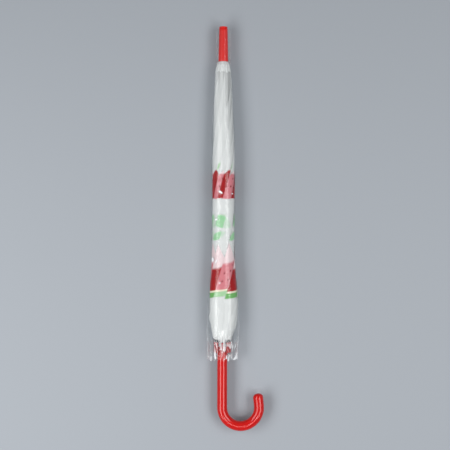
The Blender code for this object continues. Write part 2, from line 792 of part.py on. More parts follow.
def gore_hinge_place():
    """The axis about which the far edge of the first gore turns, against its own rib, to stay on the next rib.

    Its Z is the axis, and its origin is the axis's nearest point to the middle of the crown.
    """
    move = rib_opened(0).inverted() @ rib_opened(GORE_ANGLE)
    axis, angle = move.to_quaternion().to_axis_angle()
    shift = move.to_translation()
    half_way = axis.cross(shift) / (2 * math.tan(angle / 2))
    point = (shift - axis * shift.dot(axis)) / 2 + half_way
    middle = Vector((0, 0, CROWN_HEIGHT))
    point += axis * (middle - point).dot(axis)
    return Matrix.Translation(point) @ axis.to_track_quat("Z", "Y").to_matrix().to_4x4()


def sleeve_radius(height, azimuth):
    """The middle of the sleeve's film: loose round the ferrule, close on the roll, and crinkled at its mouth."""
    room = CLEARANCE + SLEEVE_FILM / 2
    if height > CANOPY_TOP:
        share = (height - CANOPY_TOP) / (SLEEVE_TOP - CANOPY_TOP)
        start = roll_radius(CANOPY_TOP, azimuth) + CAP_THICKNESS + room
        end = FERRULE_BASE_RADIUS + SLEEVE_TOP_ROOM
        return start + (end - start) * share
    close = roll_radius(max(height, HEM), azimuth) + room
    close += CAP_THICKNESS * smooth(1 - (CANOPY_TOP - height) / (CANOPY_TOP - HEM) * 20)
    widest = CANOPY_TOP + (HEM - CANOPY_TOP) * ROLL[-3][0]
    if height > widest:
        return close
    to_mouth = (widest - height) / (widest - SLEEVE_MOUTH)
    mouth = oval(MOUTH_HALF_WIDTH, MOUTH_HALF_HEIGHT, azimuth) + room
    mouth += MOUTH_WAVE * to_mouth**2 * math.sin(MOUTH_WAVES * azimuth)
    return max(close, close + (mouth - close) * smooth(to_mouth / MOUTH_FLARE_SHARE))


def sleeve_height(along):
    """Rows of the sleeve, with those over the canopy at the heights of the canopy's own rows."""
    row = along * sum(SLEEVE_ROWS)
    ends = (SLEEVE_TOP, CANOPY_TOP, HEM, SLEEVE_MOUTH)
    for start, end, rows in zip(ends, ends[1:], SLEEVE_ROWS):
        if row <= rows:
            break
        row -= rows
    return start + (end - start) * row / rows


def make_sleeve():
    facet = math.cos(math.pi / SLEEVE_COLUMNS)

    def drawn(across, along):
        height = sleeve_height(along)
        azimuth = 2 * math.pi * across
        radius = sleeve_radius(height, azimuth) / facet
        return Vector((math.cos(azimuth) * radius, math.sin(azimuth) * radius, height))

    mesh = sheet("clear_sleeve", SLEEVE_COLUMNS, sum(SLEEVE_ROWS), drawn, SLEEVE_FILM, True)
    pull = empty("sleeve_pull", ROOT, Matrix.Identity(4))
    new_object("clear_sleeve", mesh, PARTS, pull, SLEEVE_LOOK)


def lay_down():
    """Lays the umbrella along Y, hook toward X, with its box centred and standing on the floor."""
    turn = Matrix.Rotation(-math.pi / 2, 4, "X")
    ROOT.matrix_world = turn
    bpy.context.view_layer.update()
    corners = []
    for obj in PARTS.objects:
        if obj.type == "MESH":
            corners += [obj.matrix_world @ vert.co for vert in obj.data.vertices]
    low = Vector([min(c[i] for c in corners) for i in range(3)])
    high = Vector([max(c[i] for c in corners) for i in range(3)])
    middle = (low + high) / 2
    ROOT.matrix_world = Matrix.Translation((-middle.x, -middle.y, -low.z)) @ turn
    bpy.context.view_layer.update()


# Build

clear_scene()
PARTS = new_collection("clear_bubble_umbrella")
CUTTERS = new_collection("cutters", hidden=True)

RED_LOOK = material("red gloss plastic", RED, 0.25)
HANDLE_LOOK = material("red moulded handle", RED, 0.18)
FERRULE_LOOK = material("red moulded ferrule", FERRULE_RED, 0.35)
BLACK_LOOK = material("black coated steel", BLACK, 0.4, 0.2)
STEEL_LOOK = material("plated steel", STEEL, 0.3, 1.0)
SHAFT_LOOK = material("white coated steel", WHITE, 0.35)
WHITE_LOOK = material("white moulded plastic", WHITE, 0.4)
FILM_LOOK = material("milky clear film", FILM_WHITE, 0.25, 0.0, 0.6)
SLEEVE_LOOK = material("clear sleeve film", SLEEVE_CLEAR, 0.1, 0.0, 0.25)

# A nose's flat end, and the way that its ramp and its leaf run from there
STOP_HEIGHT = OPEN_RUNNER_HEIGHT + RUNNER_ABOVE + CLEARANCE + STOP_RADIUS
TOP_NOSE = (OPEN_RUNNER_HEIGHT - RUNNER_BELOW - CLEARANCE, -1)
BOTTOM_NOSE = (RUNNER_HEIGHT - WINDOW_DROP - WINDOW_HEIGHT + SEAT, 1)

ROOT = empty("umbrella", None, Matrix.Identity(4))
make_shaft()
make_ferrule()
make_handle()
make_crown()
make_cap()
make_catch("top_catch", *TOP_NOSE)
make_catch("bottom_catch", *BOTTOM_NOSE)
make_runner(empty("runner_slide", ROOT, Matrix.Translation((0, 0, RUNNER_HEIGHT))))
make_ribs()
make_gores()
make_sleeve()
lay_down()
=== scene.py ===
"""Clear bubble umbrella, rolled up in a clear film sleeve.

Its finished surfaces, laid out as a Blender add-on.
"""

import json
import math

import bmesh
import bpy
from mathutils import Euler, Matrix, Vector, noise


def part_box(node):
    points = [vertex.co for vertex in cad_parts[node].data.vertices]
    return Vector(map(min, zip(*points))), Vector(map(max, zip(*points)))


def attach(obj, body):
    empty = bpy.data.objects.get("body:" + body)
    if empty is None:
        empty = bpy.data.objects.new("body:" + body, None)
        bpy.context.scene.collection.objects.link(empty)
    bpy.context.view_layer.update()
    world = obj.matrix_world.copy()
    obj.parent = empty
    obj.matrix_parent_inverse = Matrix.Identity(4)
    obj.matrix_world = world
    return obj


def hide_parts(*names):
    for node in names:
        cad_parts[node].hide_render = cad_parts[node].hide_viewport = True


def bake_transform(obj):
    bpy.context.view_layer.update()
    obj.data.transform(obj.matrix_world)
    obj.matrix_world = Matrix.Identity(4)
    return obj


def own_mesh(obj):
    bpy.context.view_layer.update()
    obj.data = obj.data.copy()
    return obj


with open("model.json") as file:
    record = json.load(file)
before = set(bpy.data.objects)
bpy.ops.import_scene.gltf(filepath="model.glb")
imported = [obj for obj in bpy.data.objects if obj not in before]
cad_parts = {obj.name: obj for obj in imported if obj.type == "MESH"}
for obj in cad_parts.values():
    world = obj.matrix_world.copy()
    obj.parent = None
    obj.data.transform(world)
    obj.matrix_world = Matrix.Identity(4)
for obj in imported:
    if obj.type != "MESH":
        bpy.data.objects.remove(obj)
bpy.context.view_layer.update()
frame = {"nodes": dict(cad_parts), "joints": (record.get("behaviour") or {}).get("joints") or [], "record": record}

bl_info = {
    "name": "Clear bubble umbrella",
    "version": (1, 0, 0),
    "blender": (4, 5, 0),
    "location": "3D View > Sidebar > Umbrella",
    "description": "Dresses a rolled clear film umbrella: mouldings, canopy, sleeve and frame finishes",
    "category": "Add Mesh",
}

NODES = frame["nodes"]
JOINTS = {joint["name"]: joint for joint in frame["joints"]}
RIBS = range(1, sum(name.startswith("rib_tip_") for name in NODES) + 1)
GORE_ANGLE = 2 * math.pi / len(RIBS)


# Places on the umbrella, read from the frame

FERRULE_LOW, FERRULE_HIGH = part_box("ferrule")
HANDLE_LOW, HANDLE_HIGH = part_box("handle")
CAP_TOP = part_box("crown_cap")[1].y
AXIS_X = (FERRULE_LOW.x + FERRULE_HIGH.x) / 2
AXIS_Z = (FERRULE_LOW.z + FERRULE_HIGH.z) / 2
CANOPY_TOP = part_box("gore_1")[1].y
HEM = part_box("gore_1")[0].y
SLEEVE_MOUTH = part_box("clear_sleeve")[0].y
SLEEVE_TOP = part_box("clear_sleeve")[1].y
# Points of a CAD film that lie closer than this along the shaft belong to one row
ROW_GAP = 0.005
# Columns of a film's rows: place along the shaft, least radius, half width and half height
ALONG, LEAST, WIDE, HIGH = range(4)


def around(along, turn, radius):
    """A point beside the shaft. Its turn is counted from straight up, toward the hook's side."""
    return Vector((AXIS_X + radius * math.sin(turn), along, AXIS_Z + radius * math.cos(turn)))


def rib_turn(number):
    """The turn at which a rib's hinge lies."""
    x, _, z = JOINTS[f"rib_{number}_turn"]["pos_m"]
    return math.atan2(x - AXIS_X, z - AXIS_Z)


def film_rows(names):
    """Rows of a CAD film's points, from the handle end up."""
    spots = []
    for name in names:
        for vert in NODES[name].data.vertices:
            spots.append((vert.co.y, abs(vert.co.x - AXIS_X), abs(vert.co.z - AXIS_Z)))
    rows = []
    for along, across, up in sorted(spots):
        if not rows or along - rows[-1][ALONG] > ROW_GAP:
            rows.append([along, math.inf, 0, 0])
        row = rows[-1]
        row[LEAST] = min(row[LEAST], math.hypot(across, up))
        row[WIDE] = max(row[WIDE], across)
        row[HIGH] = max(row[HIGH], up)
    return rows


def between(rows, column, along):
    """A smooth curve through one column of the rows, read at a place along the shaft."""
    last = len(rows) - 1
    i = 0
    while i < last - 1 and along > rows[i + 1][ALONG]:
        i += 1
    start, end = rows[i], rows[i + 1]
    width = end[ALONG] - start[ALONG]
    slopes = []
    for j in (i, i + 1):
        before, after = rows[max(j - 1, 0)], rows[min(j + 1, last)]
        slopes.append((after[column] - before[column]) / (after[ALONG] - before[ALONG]) * width)
    t = min(max((along - start[ALONG]) / width, 0), 1)
    rise = 3 * t**2 - 2 * t**3
    bend = (t**3 - 2 * t**2 + t) * slopes[0] + (t**3 - t**2) * slopes[1]
    return start[column] + (end[column] - start[column]) * rise + bend


def oval(half_width, half_height, turn):
    """Radius of an ellipse at a turn."""
    across = half_height * math.sin(turn)
    up = half_width * math.cos(turn)
    return half_width * half_height / math.hypot(across, up)


def smooth(t):
    """Goes from 0 to 1 as t does, and eases in and out."""
    t = min(max(t, 0), 1)
    return t * t * (3 - 2 * t)


def streaks(turn, fineness, drift):
    """Noise round the shaft, from -1 to 1, which closes on itself. Drift carries it along the shaft."""
    ring = Vector((math.sin(turn), math.cos(turn), 0))
    return noise.noise(ring * fineness + Vector((0, 0, drift)))


CANOPY_ROWS = film_rows([f"gore_{k}" for k in RIBS])
SLEEVE_ROWS = film_rows(["clear_sleeve"])
# The roll moves over toward the hook in two equal steps, as (drop below the canopy's top, length of the step)
ASIDE = 0.0016
ASIDE_STEPS = ((0.05, 0.10), (0.42, 0.05))
# At its top the roll is this much narrower than the CAD films, and below that it spreads across and up
ROLL_TRIM = 0.0005
ROLL_SPREAD = (0.0025, 0.0010)
SPREAD_DROP = 0.025
# Room that the roll leaves in the sleeve, across and up
SLEEVE_ROOM = (0.0003, 0.0014)


def roll_aside(along):
    """How far the roll lies toward the hook's side. It is central under the ferrule."""
    drop = CANOPY_TOP - along
    return ASIDE * sum(smooth((drop - start) / run) for start, run in ASIDE_STEPS)


def roll_radius(along, turn):
    """Outside of the rolled canopy, which fills the sleeve."""
    spread = smooth((CANOPY_TOP - along) / SPREAD_DROP)
    wide = between(CANOPY_ROWS, WIDE, along) - ROLL_TRIM + ROLL_SPREAD[0] * spread
    high = between(CANOPY_ROWS, HIGH, along) + ROLL_SPREAD[1] * spread
    room_wide = between(SLEEVE_ROWS, WIDE, along) - SLEEVE_ROOM[0]
    room_high = between(SLEEVE_ROWS, HIGH, along) - SLEEVE_ROOM[1]
    radius = min(oval(wide, high, turn), oval(room_wide, room_high, turn))
    return radius + roll_aside(along) * math.sin(turn)


# Sizes and colours that a user would change


def linear(code):
    """An sRGB hex colour as linear red, green and blue."""
    parts = [int(code[i : i + 2], 16) / 255 for i in (1, 3, 5)]
    return tuple(c / 12.92 if c <= 0.04045 else ((c + 0.055) / 1.055) ** 2.4 for c in parts)


def length(name, description, default):
    return bpy.props.FloatProperty(
        name=name, description=description, default=default, subtype="DISTANCE", unit="LENGTH", precision=5
    )


def angle(name, description, degrees):
    return bpy.props.FloatProperty(
        name=name, description=description, default=math.radians(degrees), subtype="ANGLE", unit="ROTATION"
    )


def colour(name, description, code):
    return bpy.props.FloatVectorProperty(
        name=name, description=description, default=linear(code), size=3, min=0, max=1, subtype="COLOR"
    )


class UmbrellaSizes(bpy.types.PropertyGroup):
    """Sizes of the mouldings and of the films."""

    hook_sweep: angle("Hook sweep", "How far round the handle's hook goes", 186)
    hook_end: length("Hook end", "Straight end of the hook, past its bend", 0.017)
    ferrule_tip: length("Ferrule tip radius", "Radius of the ferrule at its flat end", 0.0082)
    rim: length("Rim", "Rounded edge of the mouldings", 0.0009)
    leaf_turns: bpy.props.FloatProperty(
        name="Leaf turns",
        description="Turns that a folded gore makes round the ribs at the hem",
        default=1.2,
        min=0.2,
    )
    first_wrap: angle("First wrap", "How far a folded gore winds at the crown", 25)
    layer_gap: length("Layer gap", "Room between the two layers of a folded gore", 0.0004)
    fold_lift: length("Fold lift", "How far a folded edge stands off the roll", 0.0006)
    hem_rise: length("Hem rise", "How much shorter a gore is at its middle than along the ribs", 0.030)
    rib_bare: length("Bare rib", "Length of rib that shows between the hem and a rib tip", 0.003)
    hem_flare: length("Hem flare", "How far the loose film at the hem ripples out", 0.0042)
    wrinkle: length("Wrinkle", "Height of the film's wrinkles", 0.0004)
    crinkle: length("Mouth crinkle", "Height of the crinkles at the mouth of the sleeve", 0.0042)


class UmbrellaColours(bpy.types.PropertyGroup):
    """Colours of the mouldings, films, print and frame."""

    handle: colour("Handle", "Red of the moulded handle", "#c60f08")
    ferrule: colour("Ferrule", "Red of the moulded ferrule", "#de1b12")
    tips: colour("Rib tips", "Red of the rib tips", "#b4161a")
    film: colour("Film", "Milky white of the canopy film", "#fafbfa")
    flesh: colour("Fruit red", "Red of the printed fruit", "#aa0d12")
    blush: colour("Fruit pink", "Pink of every other printed fruit", "#dc858d")
    seed: colour("Seed", "Dark red of the printed seeds", "#7e1016")
    heart: colour("Fruit heart", "Pale pink at the heart of the printed fruit", "#f0d9db")
    pith: colour("Pith", "Pale line inside the printed rind", "#f4ead2")
    rind: colour("Rind", "Green of the printed rind", "#76b869")
    pale_rind: colour("Pale rind", "Pale green of the pink fruit's rind", "#b0d8ab")
    leaf: colour("Leaf", "Green of the printed leaves", "#a2d7a7")
    coating: colour("Black coating", "Coating of the ribs and stretchers", "#241f1f")
    white: colour("White parts", "Moulded crown and runner, and the coated shaft", "#e6e8ea")
    steel: colour("Steel", "Plated steel of the pins and springs", "#c3c6c9")
    floor: colour("Floor", "Grey of the floor", "#9da2a8")


# What the meshes and materials share

# Points that lie closer than this are merged
MERGE = 0.000002


def add_node(tree, kind, inputs=None, **settings):
    """Adds a node, sets it, and links or sets its inputs."""
    node = tree.nodes.new(kind)
    for name, value in settings.items():
        setattr(node, name, value)
    for key, value in (inputs or {}).items():
        if isinstance(value, bpy.types.NodeSocket):
            tree.links.new(value, node.inputs[key])
        else:
            node.inputs[key].default_value = value
    return node


def new_material(name):
    made = bpy.data.materials.new(name)
    made.use_nodes = True
    made.node_tree.nodes.clear()
    return made, made.node_tree


def rgba(value):
    return (*value, 1.0)


def add_piece(name, shape, look, body):
    """Makes a finished bmesh an object that rides on a body of the frame."""
    mesh = bpy.data.meshes.new(name)
    shape.to_mesh(mesh)
    shape.free()
    mesh.shade_smooth()
    mesh.materials.append(look)
    obj = bpy.data.objects.new(name, mesh)
    bpy.context.scene.collection.objects.link(obj)
    if body:
        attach(obj, body)
    return obj


def turned(outline, steps):
    """A bmesh turned about the Y axis from (radius, place along) points."""
    shape = bmesh.new()
    points = [shape.verts.new((radius, along, 0)) for radius, along in outline]
    chain = [shape.edges.new(pair) for pair in zip(points, points[1:])]
    bmesh.ops.spin(
        shape,
        geom=points + chain,
        cent=(0, 0, 0),
        axis=(0, 1, 0),
        dvec=(0, 0, 0),
        angle=2 * math.pi,
        steps=steps,
        use_merge=True,
        use_duplicate=False,
    )
    bmesh.ops.remove_doubles(shape, verts=shape.verts, dist=MERGE)
    bmesh.ops.recalc_face_normals(shape, faces=shape.faces)
    return shape


def arc(middle, radius, start, end, steps):
    """Points of a circle's arc, as (radius, place along), between two angles in degrees."""
    points = []
    for i in range(steps + 1):
        turn = math.radians(start + (end - start) * i / steps)
        points.append((middle[0] + radius * math.cos(turn), middle[1] + radius * math.sin(turn)))
    return points


def film_sheet(columns, rows, place, closed=False, fold=False):
    """A grid bent by place(across, down), which gives a point and the flat film's coordinates there."""
    shape = bmesh.new()
    bmesh.ops.create_grid(shape, x_segments=columns, y_segments=rows, size=0.5)
    # A fold runs down the middle column, whose edges stay sharp
    for edge in shape.edges:
        edge.smooth = not fold or any(abs(vert.co.x) > 0.1 / columns for vert in edge.verts)
    flat = shape.loops.layers.uv.new("flat")
    spots = {}
    for vert in shape.verts:
        point, spots[vert] = place(vert.co.x + 0.5, 0.5 - vert.co.y)
        vert.co = point
    for face in shape.faces:
        for loop in face.loops:
            loop[flat].uv = spots[loop.vert]
    if closed:
        bmesh.ops.remove_doubles(shape, verts=shape.verts, dist=MERGE)
    return shape


def thicken(obj, thickness):
    """Gives a film its thickness, half to each side."""
    solid = obj.modifiers.new("film", "SOLIDIFY")
    solid.thickness = thickness
    solid.offset = 0
    solid.use_even_offset = False


# Materials


def moulded_plastic(name, tint, roughness, grain_mm, peel_strength=0.05):
    """Injection moulded plastic: even and glossy, with a faint flow in its colour and low orange peel."""
    made, tree = new_material(name)
    place = add_node(tree, "ShaderNodeTexCoord").outputs["Object"]
    flow_mm = 20 * grain_mm
    flow = add_node(
        tree, "ShaderNodeTexNoise", {"Vector": place, "Scale": 1000 / flow_mm, "Detail": 3.0}
    ).outputs["Fac"]
    dark = tuple(0.86 * c for c in tint)
    shade = add_node(
        tree, "ShaderNodeMix", {"Factor": flow, 6: rgba(dark), 7: rgba(tint)}, data_type="RGBA"
    ).outputs[2]
    peel = add_node(
        tree, "ShaderNodeTexNoise", {"Vector": place, "Scale": 1000 / grain_mm, "Detail": 2.0}
    ).outputs["Fac"]
    polish = add_node(
        tree,
        "ShaderNodeMapRange",
        {"Value": peel, "To Min": roughness * 0.8, "To Max": roughness * 1.25},
    ).outputs["Result"]
    bump = add_node(
        tree, "ShaderNodeBump", {"Height": peel, "Strength": peel_strength, "Distance": 0.0002}
    ).outputs["Normal"]
    shader = add_node(
        tree,
        "ShaderNodeBsdfPrincipled",
        {"Base Color": shade, "Roughness": polish, "IOR": 1.53, "Specular IOR Level": 0.45, "Normal": bump},
    )
    add_node(tree, "ShaderNodeOutputMaterial", {"Surface": shader.outputs["BSDF"]})
    return made


def coated_steel(name, tint, roughness, grain_mm):
    """Powder coated or painted steel: a thin even coat with fine grain and slight wear in its sheen."""
    made, tree = new_material(name)
    place = add_node(tree, "ShaderNodeTexCoord").outputs["Object"]
    grain = add_node(
        tree, "ShaderNodeTexNoise", {"Vector": place, "Scale": 1000 / grain_mm, "Detail": 4.0}
    ).outputs["Fac"]
    light = tuple(min(1.25 * c + 0.004, 1) for c in tint)
    shade = add_node(
        tree, "ShaderNodeMix", {"Factor": grain, 6: rgba(tint), 7: rgba(light)}, data_type="RGBA"
    ).outputs[2]
    sheen = add_node(
        tree,
        "ShaderNodeMapRange",
        {"Value": grain, "To Min": roughness * 0.7, "To Max": roughness * 1.3},
    ).outputs["Result"]
    bump = add_node(
        tree, "ShaderNodeBump", {"Height": grain, "Strength": 0.08, "Distance": 0.0001}
    ).outputs["Normal"]
    shader = add_node(
        tree,
        "ShaderNodeBsdfPrincipled",
        {"Base Color": shade, "Roughness": sheen, "IOR": 1.5, "Normal": bump},
    )
    add_node(tree, "ShaderNodeOutputMaterial", {"Surface": shader.outputs["BSDF"]})
    return made


def plated_steel(name, tint):
    """Nickel plated spring steel: a bright metal with fine drawing lines along the wire."""
    made, tree = new_material(name)
    place = add_node(tree, "ShaderNodeTexCoord").outputs["Object"]
    # The lines are a quarter of a millimetre apart and 4 mm long
    apart, long = 1000 / 0.25, 1000 / 4
    stretch = add_node(
        tree, "ShaderNodeMapping", {"Vector": place, "Scale": (apart, long, apart)}
    ).outputs["Vector"]
    lines = add_node(
        tree, "ShaderNodeTexNoise", {"Vector": stretch, "Scale": 1.0, "Detail": 2.0}
    ).outputs["Fac"]
    polish = add_node(
        tree, "ShaderNodeMapRange", {"Value": lines, "To Min": 0.18, "To Max": 0.38}
    ).outputs["Result"]
    shader = add_node(
        tree,
        "ShaderNodeBsdfPrincipled",
        {"Base Color": rgba(tint), "Metallic": 1.0, "Roughness": polish},
    )
    add_node(tree, "ShaderNodeOutputMaterial", {"Surface": shader.outputs["BSDF"]})
    return made


# The print, in metres across and down a flat gore: fruit wedges and leaves in a staggered repeat

REPEAT = 0.180
WEDGES = (
    # Apex across and down, turn in degrees, radius, half angle in degrees, shares of heart and rind, tone
    (0.000, 0.355, 12, 0.107, 23, 0.43, 0.09, "flesh"),
    (0.090, 0.352, 12, 0.107, 23, 0.36, 0.09, "blush"),
    (0.008, 0.207, 0, 0.058, 38, 0.02, 0.00, "flesh"),
    (0.098, 0.210, 0, 0.056, 36, 0.10, 0.00, "blush"),
)
LEAVES = (
    # Middle across and down, turn in degrees, length, half width, tone
    (0.097, 0.310, 62, 0.052, 0.0105, "leaf"),
    (0.099, 0.339, -58, 0.030, 0.0075, "leaf"),
    (0.023, 0.334, 30, 0.014, 0.0030, "rind"),
    (0.012, 0.202, -8, 0.018, 0.0016, "rind"),
)
# Bands of a wedge, as shares of its radius. These two are counted out from its heart
HEART_EDGE = 0.05
SEEDS_START = 0.08
# These are moved in by the width of its rind
SEEDS_END = 0.82
FLESH_END = 0.955
PITH = (0.965, 0.99)
# Width of a cell that holds one seed, that width as a share of its length, and the seed's radius in widths
SEED_SPACING = 0.0105
SEED_CELL = 0.7
SEED_RADIUS = 0.12
# Half the width of a leaf's vein
VEIN = 0.0004


def local_place(tree, flat, across, down, degrees):
    """The flat coordinates moved to a motif's own middle and turned to its own way up."""
    moved = add_node(
        tree, "ShaderNodeVectorMath", {0: flat, 1: (across, down, 0.0)}, operation="SUBTRACT"
    ).outputs["Vector"]
    return add_node(
        tree,
        "ShaderNodeVectorRotate",
        {"Vector": moved, "Angle": math.radians(degrees)},
        rotation_type="Z_AXIS",
    ).outputs["Vector"]


def sides(tree, place):
    """How far a place is to the side of a motif's middle line, and how far along that line."""
    split = add_node(tree, "ShaderNodeSeparateXYZ", {"Vector": place})
    aside = add_node(tree, "ShaderNodeMath", {0: split.outputs["X"]}, operation="ABSOLUTE")
    return aside.outputs["Value"], split.outputs["Y"]


def fruit_wedge(tree, flat, seeds, colours, row):
    """Where a printed wedge is, and its colour: heart, flesh with seeds, pith and rind."""
    across, down, degrees, radius, half, heart, rind, tone = row
    place = local_place(tree, flat, across, down, degrees)
    aside, along = sides(tree, place)
    slant = add_node(
        tree, "ShaderNodeMath", {0: along, 1: math.tan(math.radians(half))}, operation="MULTIPLY"
    ).outputs["Value"]
    within = add_node(tree, "ShaderNodeMath", {0: aside, 1: slant}, operation="LESS_THAN").outputs["Value"]
    reach = add_node(tree, "ShaderNodeVectorMath", {0: place}, operation="LENGTH").outputs["Value"]
    near = add_node(tree, "ShaderNodeMath", {0: reach, 1: radius}, operation="LESS_THAN").outputs["Value"]
    mask = add_node(tree, "ShaderNodeMath", {0: within, 1: near}, operation="MULTIPLY").outputs["Value"]
    ratio = add_node(tree, "ShaderNodeMath", {0: reach, 1: radius}, operation="DIVIDE").outputs["Value"]
    ramp = add_node(tree, "ShaderNodeValToRGB", {"Fac": ratio})
    flesh = getattr(colours, tone)
    bands = [(heart, colours.heart), (heart + HEART_EDGE, flesh), (FLESH_END - rind, flesh)]
    if rind:
        green = colours.rind if tone == "flesh" else colours.pale_rind
        bands += [(at - rind, colours.pith) for at in PITH]
        bands.append((1 - rind, green))
    stops = ramp.color_ramp.elements
    stops.remove(stops[1])
    stops[0].position = bands[0][0]
    stops[0].color = rgba(bands[0][1])
    for at, shade in bands[1:]:
        stops.new(at).color = rgba(shade)
    start, end = heart + SEEDS_START, SEEDS_END - rind
    inside = add_node(
        tree,
        "ShaderNodeMath",
        {0: ratio, 1: (start + end) / 2, 2: (end - start) / 2},
        operation="COMPARE",
    ).outputs["Value"]
    seeded = add_node(tree, "ShaderNodeMath", {0: seeds, 1: inside}, operation="MULTIPLY").outputs["Value"]
    shade = add_node(
        tree,
        "ShaderNodeMix",
        {"Factor": seeded, 6: ramp.outputs["Color"], 7: rgba(colours.seed)},
        data_type="RGBA",
    ).outputs[2]
    return mask, shade


def printed_leaf(tree, flat, colours, row):
    """Where a printed leaf is, and its colour, with a pale vein down its middle."""
    across, down, degrees, long, half, tone = row
    aside, along = sides(tree, local_place(tree, flat, across, down, degrees))
    square = add_node(tree, "ShaderNodeMath", {0: along, 1: along}, operation="MULTIPLY").outputs["Value"]
    belly = add_node(
        tree, "ShaderNodeMath", {0: square, 1: half / (long / 2) ** 2, 2: aside}, operation="MULTIPLY_ADD"
    ).outputs["Value"]
    mask = add_node(tree, "ShaderNodeMath", {0: belly, 1: half}, operation="LESS_THAN").outputs["Value"]
    vein = add_node(tree, "ShaderNodeMath", {0: aside, 1: VEIN}, operation="LESS_THAN").outputs["Value"]
    shade = add_node(
        tree,
        "ShaderNodeMix",
        {"Factor": vein, 6: rgba(getattr(colours, tone)), 7: rgba(colours.pale_rind)},
        data_type="RGBA",
    ).outputs[2]
    return mask, shade


def printed(tree, flat, colours):
    """The colour of the print and where there is print, for one repeat of the design."""
    seeds = sown(tree, flat)
    motifs = [fruit_wedge(tree, flat, seeds, colours, row) for row in WEDGES]
    motifs += [printed_leaf(tree, flat, colours, row) for row in LEAVES]
    cover, tint = motifs[0]
    for mask, shade in motifs[1:]:
        tint = add_node(
            tree, "ShaderNodeMix", {"Factor": mask, 6: tint, 7: shade}, data_type="RGBA"
        ).outputs[2]
        cover = add_node(tree, "ShaderNodeMath", {0: cover, 1: mask}, operation="MAXIMUM").outputs["Value"]
    return tint, cover


def sown(tree, flat):
    """Where the seeds are: one small drop in each cell, a little longer than it is wide."""
    cells = add_node(
        tree,
        "ShaderNodeMapping",
        {"Vector": flat, "Scale": (1 / SEED_SPACING, SEED_CELL / SEED_SPACING, 1.0)},
    ).outputs["Vector"]
    far = add_node(
        tree,
        "ShaderNodeTexVoronoi",
        {"Vector": cells, "Scale": 1.0, "Randomness": 0.55},
        voronoi_dimensions="2D",
    ).outputs["Distance"]
    return add_node(tree, "ShaderNodeMath", {0: far, 1: SEED_RADIUS}, operation="LESS_THAN").outputs["Value"]


def repeated(tree, flat):
    """The flat coordinates, with the design repeated across the gore."""
    split = add_node(tree, "ShaderNodeSeparateXYZ", {"Vector": flat})
    # A repeat starts a quarter early, so that the motifs near 0 stay whole
    across = add_node(
        tree,
        "ShaderNodeMath",
        {0: split.outputs["X"], 1: REPEAT * 0.75, 2: -REPEAT * 0.25},
        operation="WRAP",
    ).outputs["Value"]
    placed = add_node(tree, "ShaderNodeCombineXYZ", {"X": across, "Y": split.outputs["Y"]})
    return placed.outputs["Vector"]


# Marks in the films, in millimetres across and along: stretch marks, puckers and crushed flakes
MARKS_MM = (3.03, 33.3)
PUCKERS_MM = (5.88, 22.2)
FLAKES_MM = (5, 25)


def milky_film(name, colours, haze, ink):
    """Blown polyethylene film: milky, softly glossy, with translucent ink and fine stretch marks.

    Haze is how opaque the bare film is, and ink how opaque the print is.
    """
    made, tree = new_material(name)
    flat = add_node(tree, "ShaderNodeUVMap", uv_map="flat").outputs["UV"]
    tint, cover = printed(tree, repeated(tree, flat), colours)
    shade = add_node(
        tree, "ShaderNodeMix", {"Factor": cover, 6: rgba(colours.film), 7: tint}, data_type="RGBA"
    ).outputs[2]
    # Stretch marks run down the gore
    stretch = add_node(
        tree,
        "ShaderNodeMapping",
        {"Vector": flat, "Scale": (1000 / MARKS_MM[0], 1000 / MARKS_MM[1], 1.0)},
    ).outputs["Vector"]
    marks = add_node(
        tree, "ShaderNodeTexNoise", {"Vector": stretch, "Scale": 1.0, "Detail": 3.0}
    ).outputs["Fac"]
    clear = add_node(
        tree, "ShaderNodeMapRange", {"Value": marks, "To Min": 0.9 * haze, "To Max": 1.1 * haze}
    ).outputs["Result"]
    alpha = add_node(
        tree, "ShaderNodeMix", {"Factor": cover, "A": clear, "B": ink}, data_type="FLOAT"
    ).outputs[0]
    bump = add_node(
        tree, "ShaderNodeBump", {"Height": marks, "Strength": 0.1, "Distance": 0.0004}
    ).outputs["Normal"]
    shader = add_node(
        tree,
        "ShaderNodeBsdfPrincipled",
        {
            "Base Color": shade,
            "Roughness": 0.5,
            "Specular IOR Level": 0.1,
            "Alpha": alpha,
            "Normal": bump,
        },
    )
    add_node(tree, "ShaderNodeOutputMaterial", {"Surface": shader.outputs["BSDF"]})
    return made


# Painted highlights: small white glints painted on the sleeve where its crumples would catch the light, as
# (across, down, half length, half width, lean in degrees) on its flat film
PAINTED_GLINTS = (
    (0.1338, 0.3208, 0.0060, 0.0026, -35),
    (0.0192, 0.3236, 0.0022, 0.0016, 0),
    (0.1252, 0.3745, 0.0042, 0.0024, 12),
    (0.1171, 0.4534, 0.0060, 0.0042, -80),
    (0.1261, 0.4570, 0.0060, 0.0016, 63),
    (0.1329, 0.4990, 0.0022, 0.0016, 0),
)


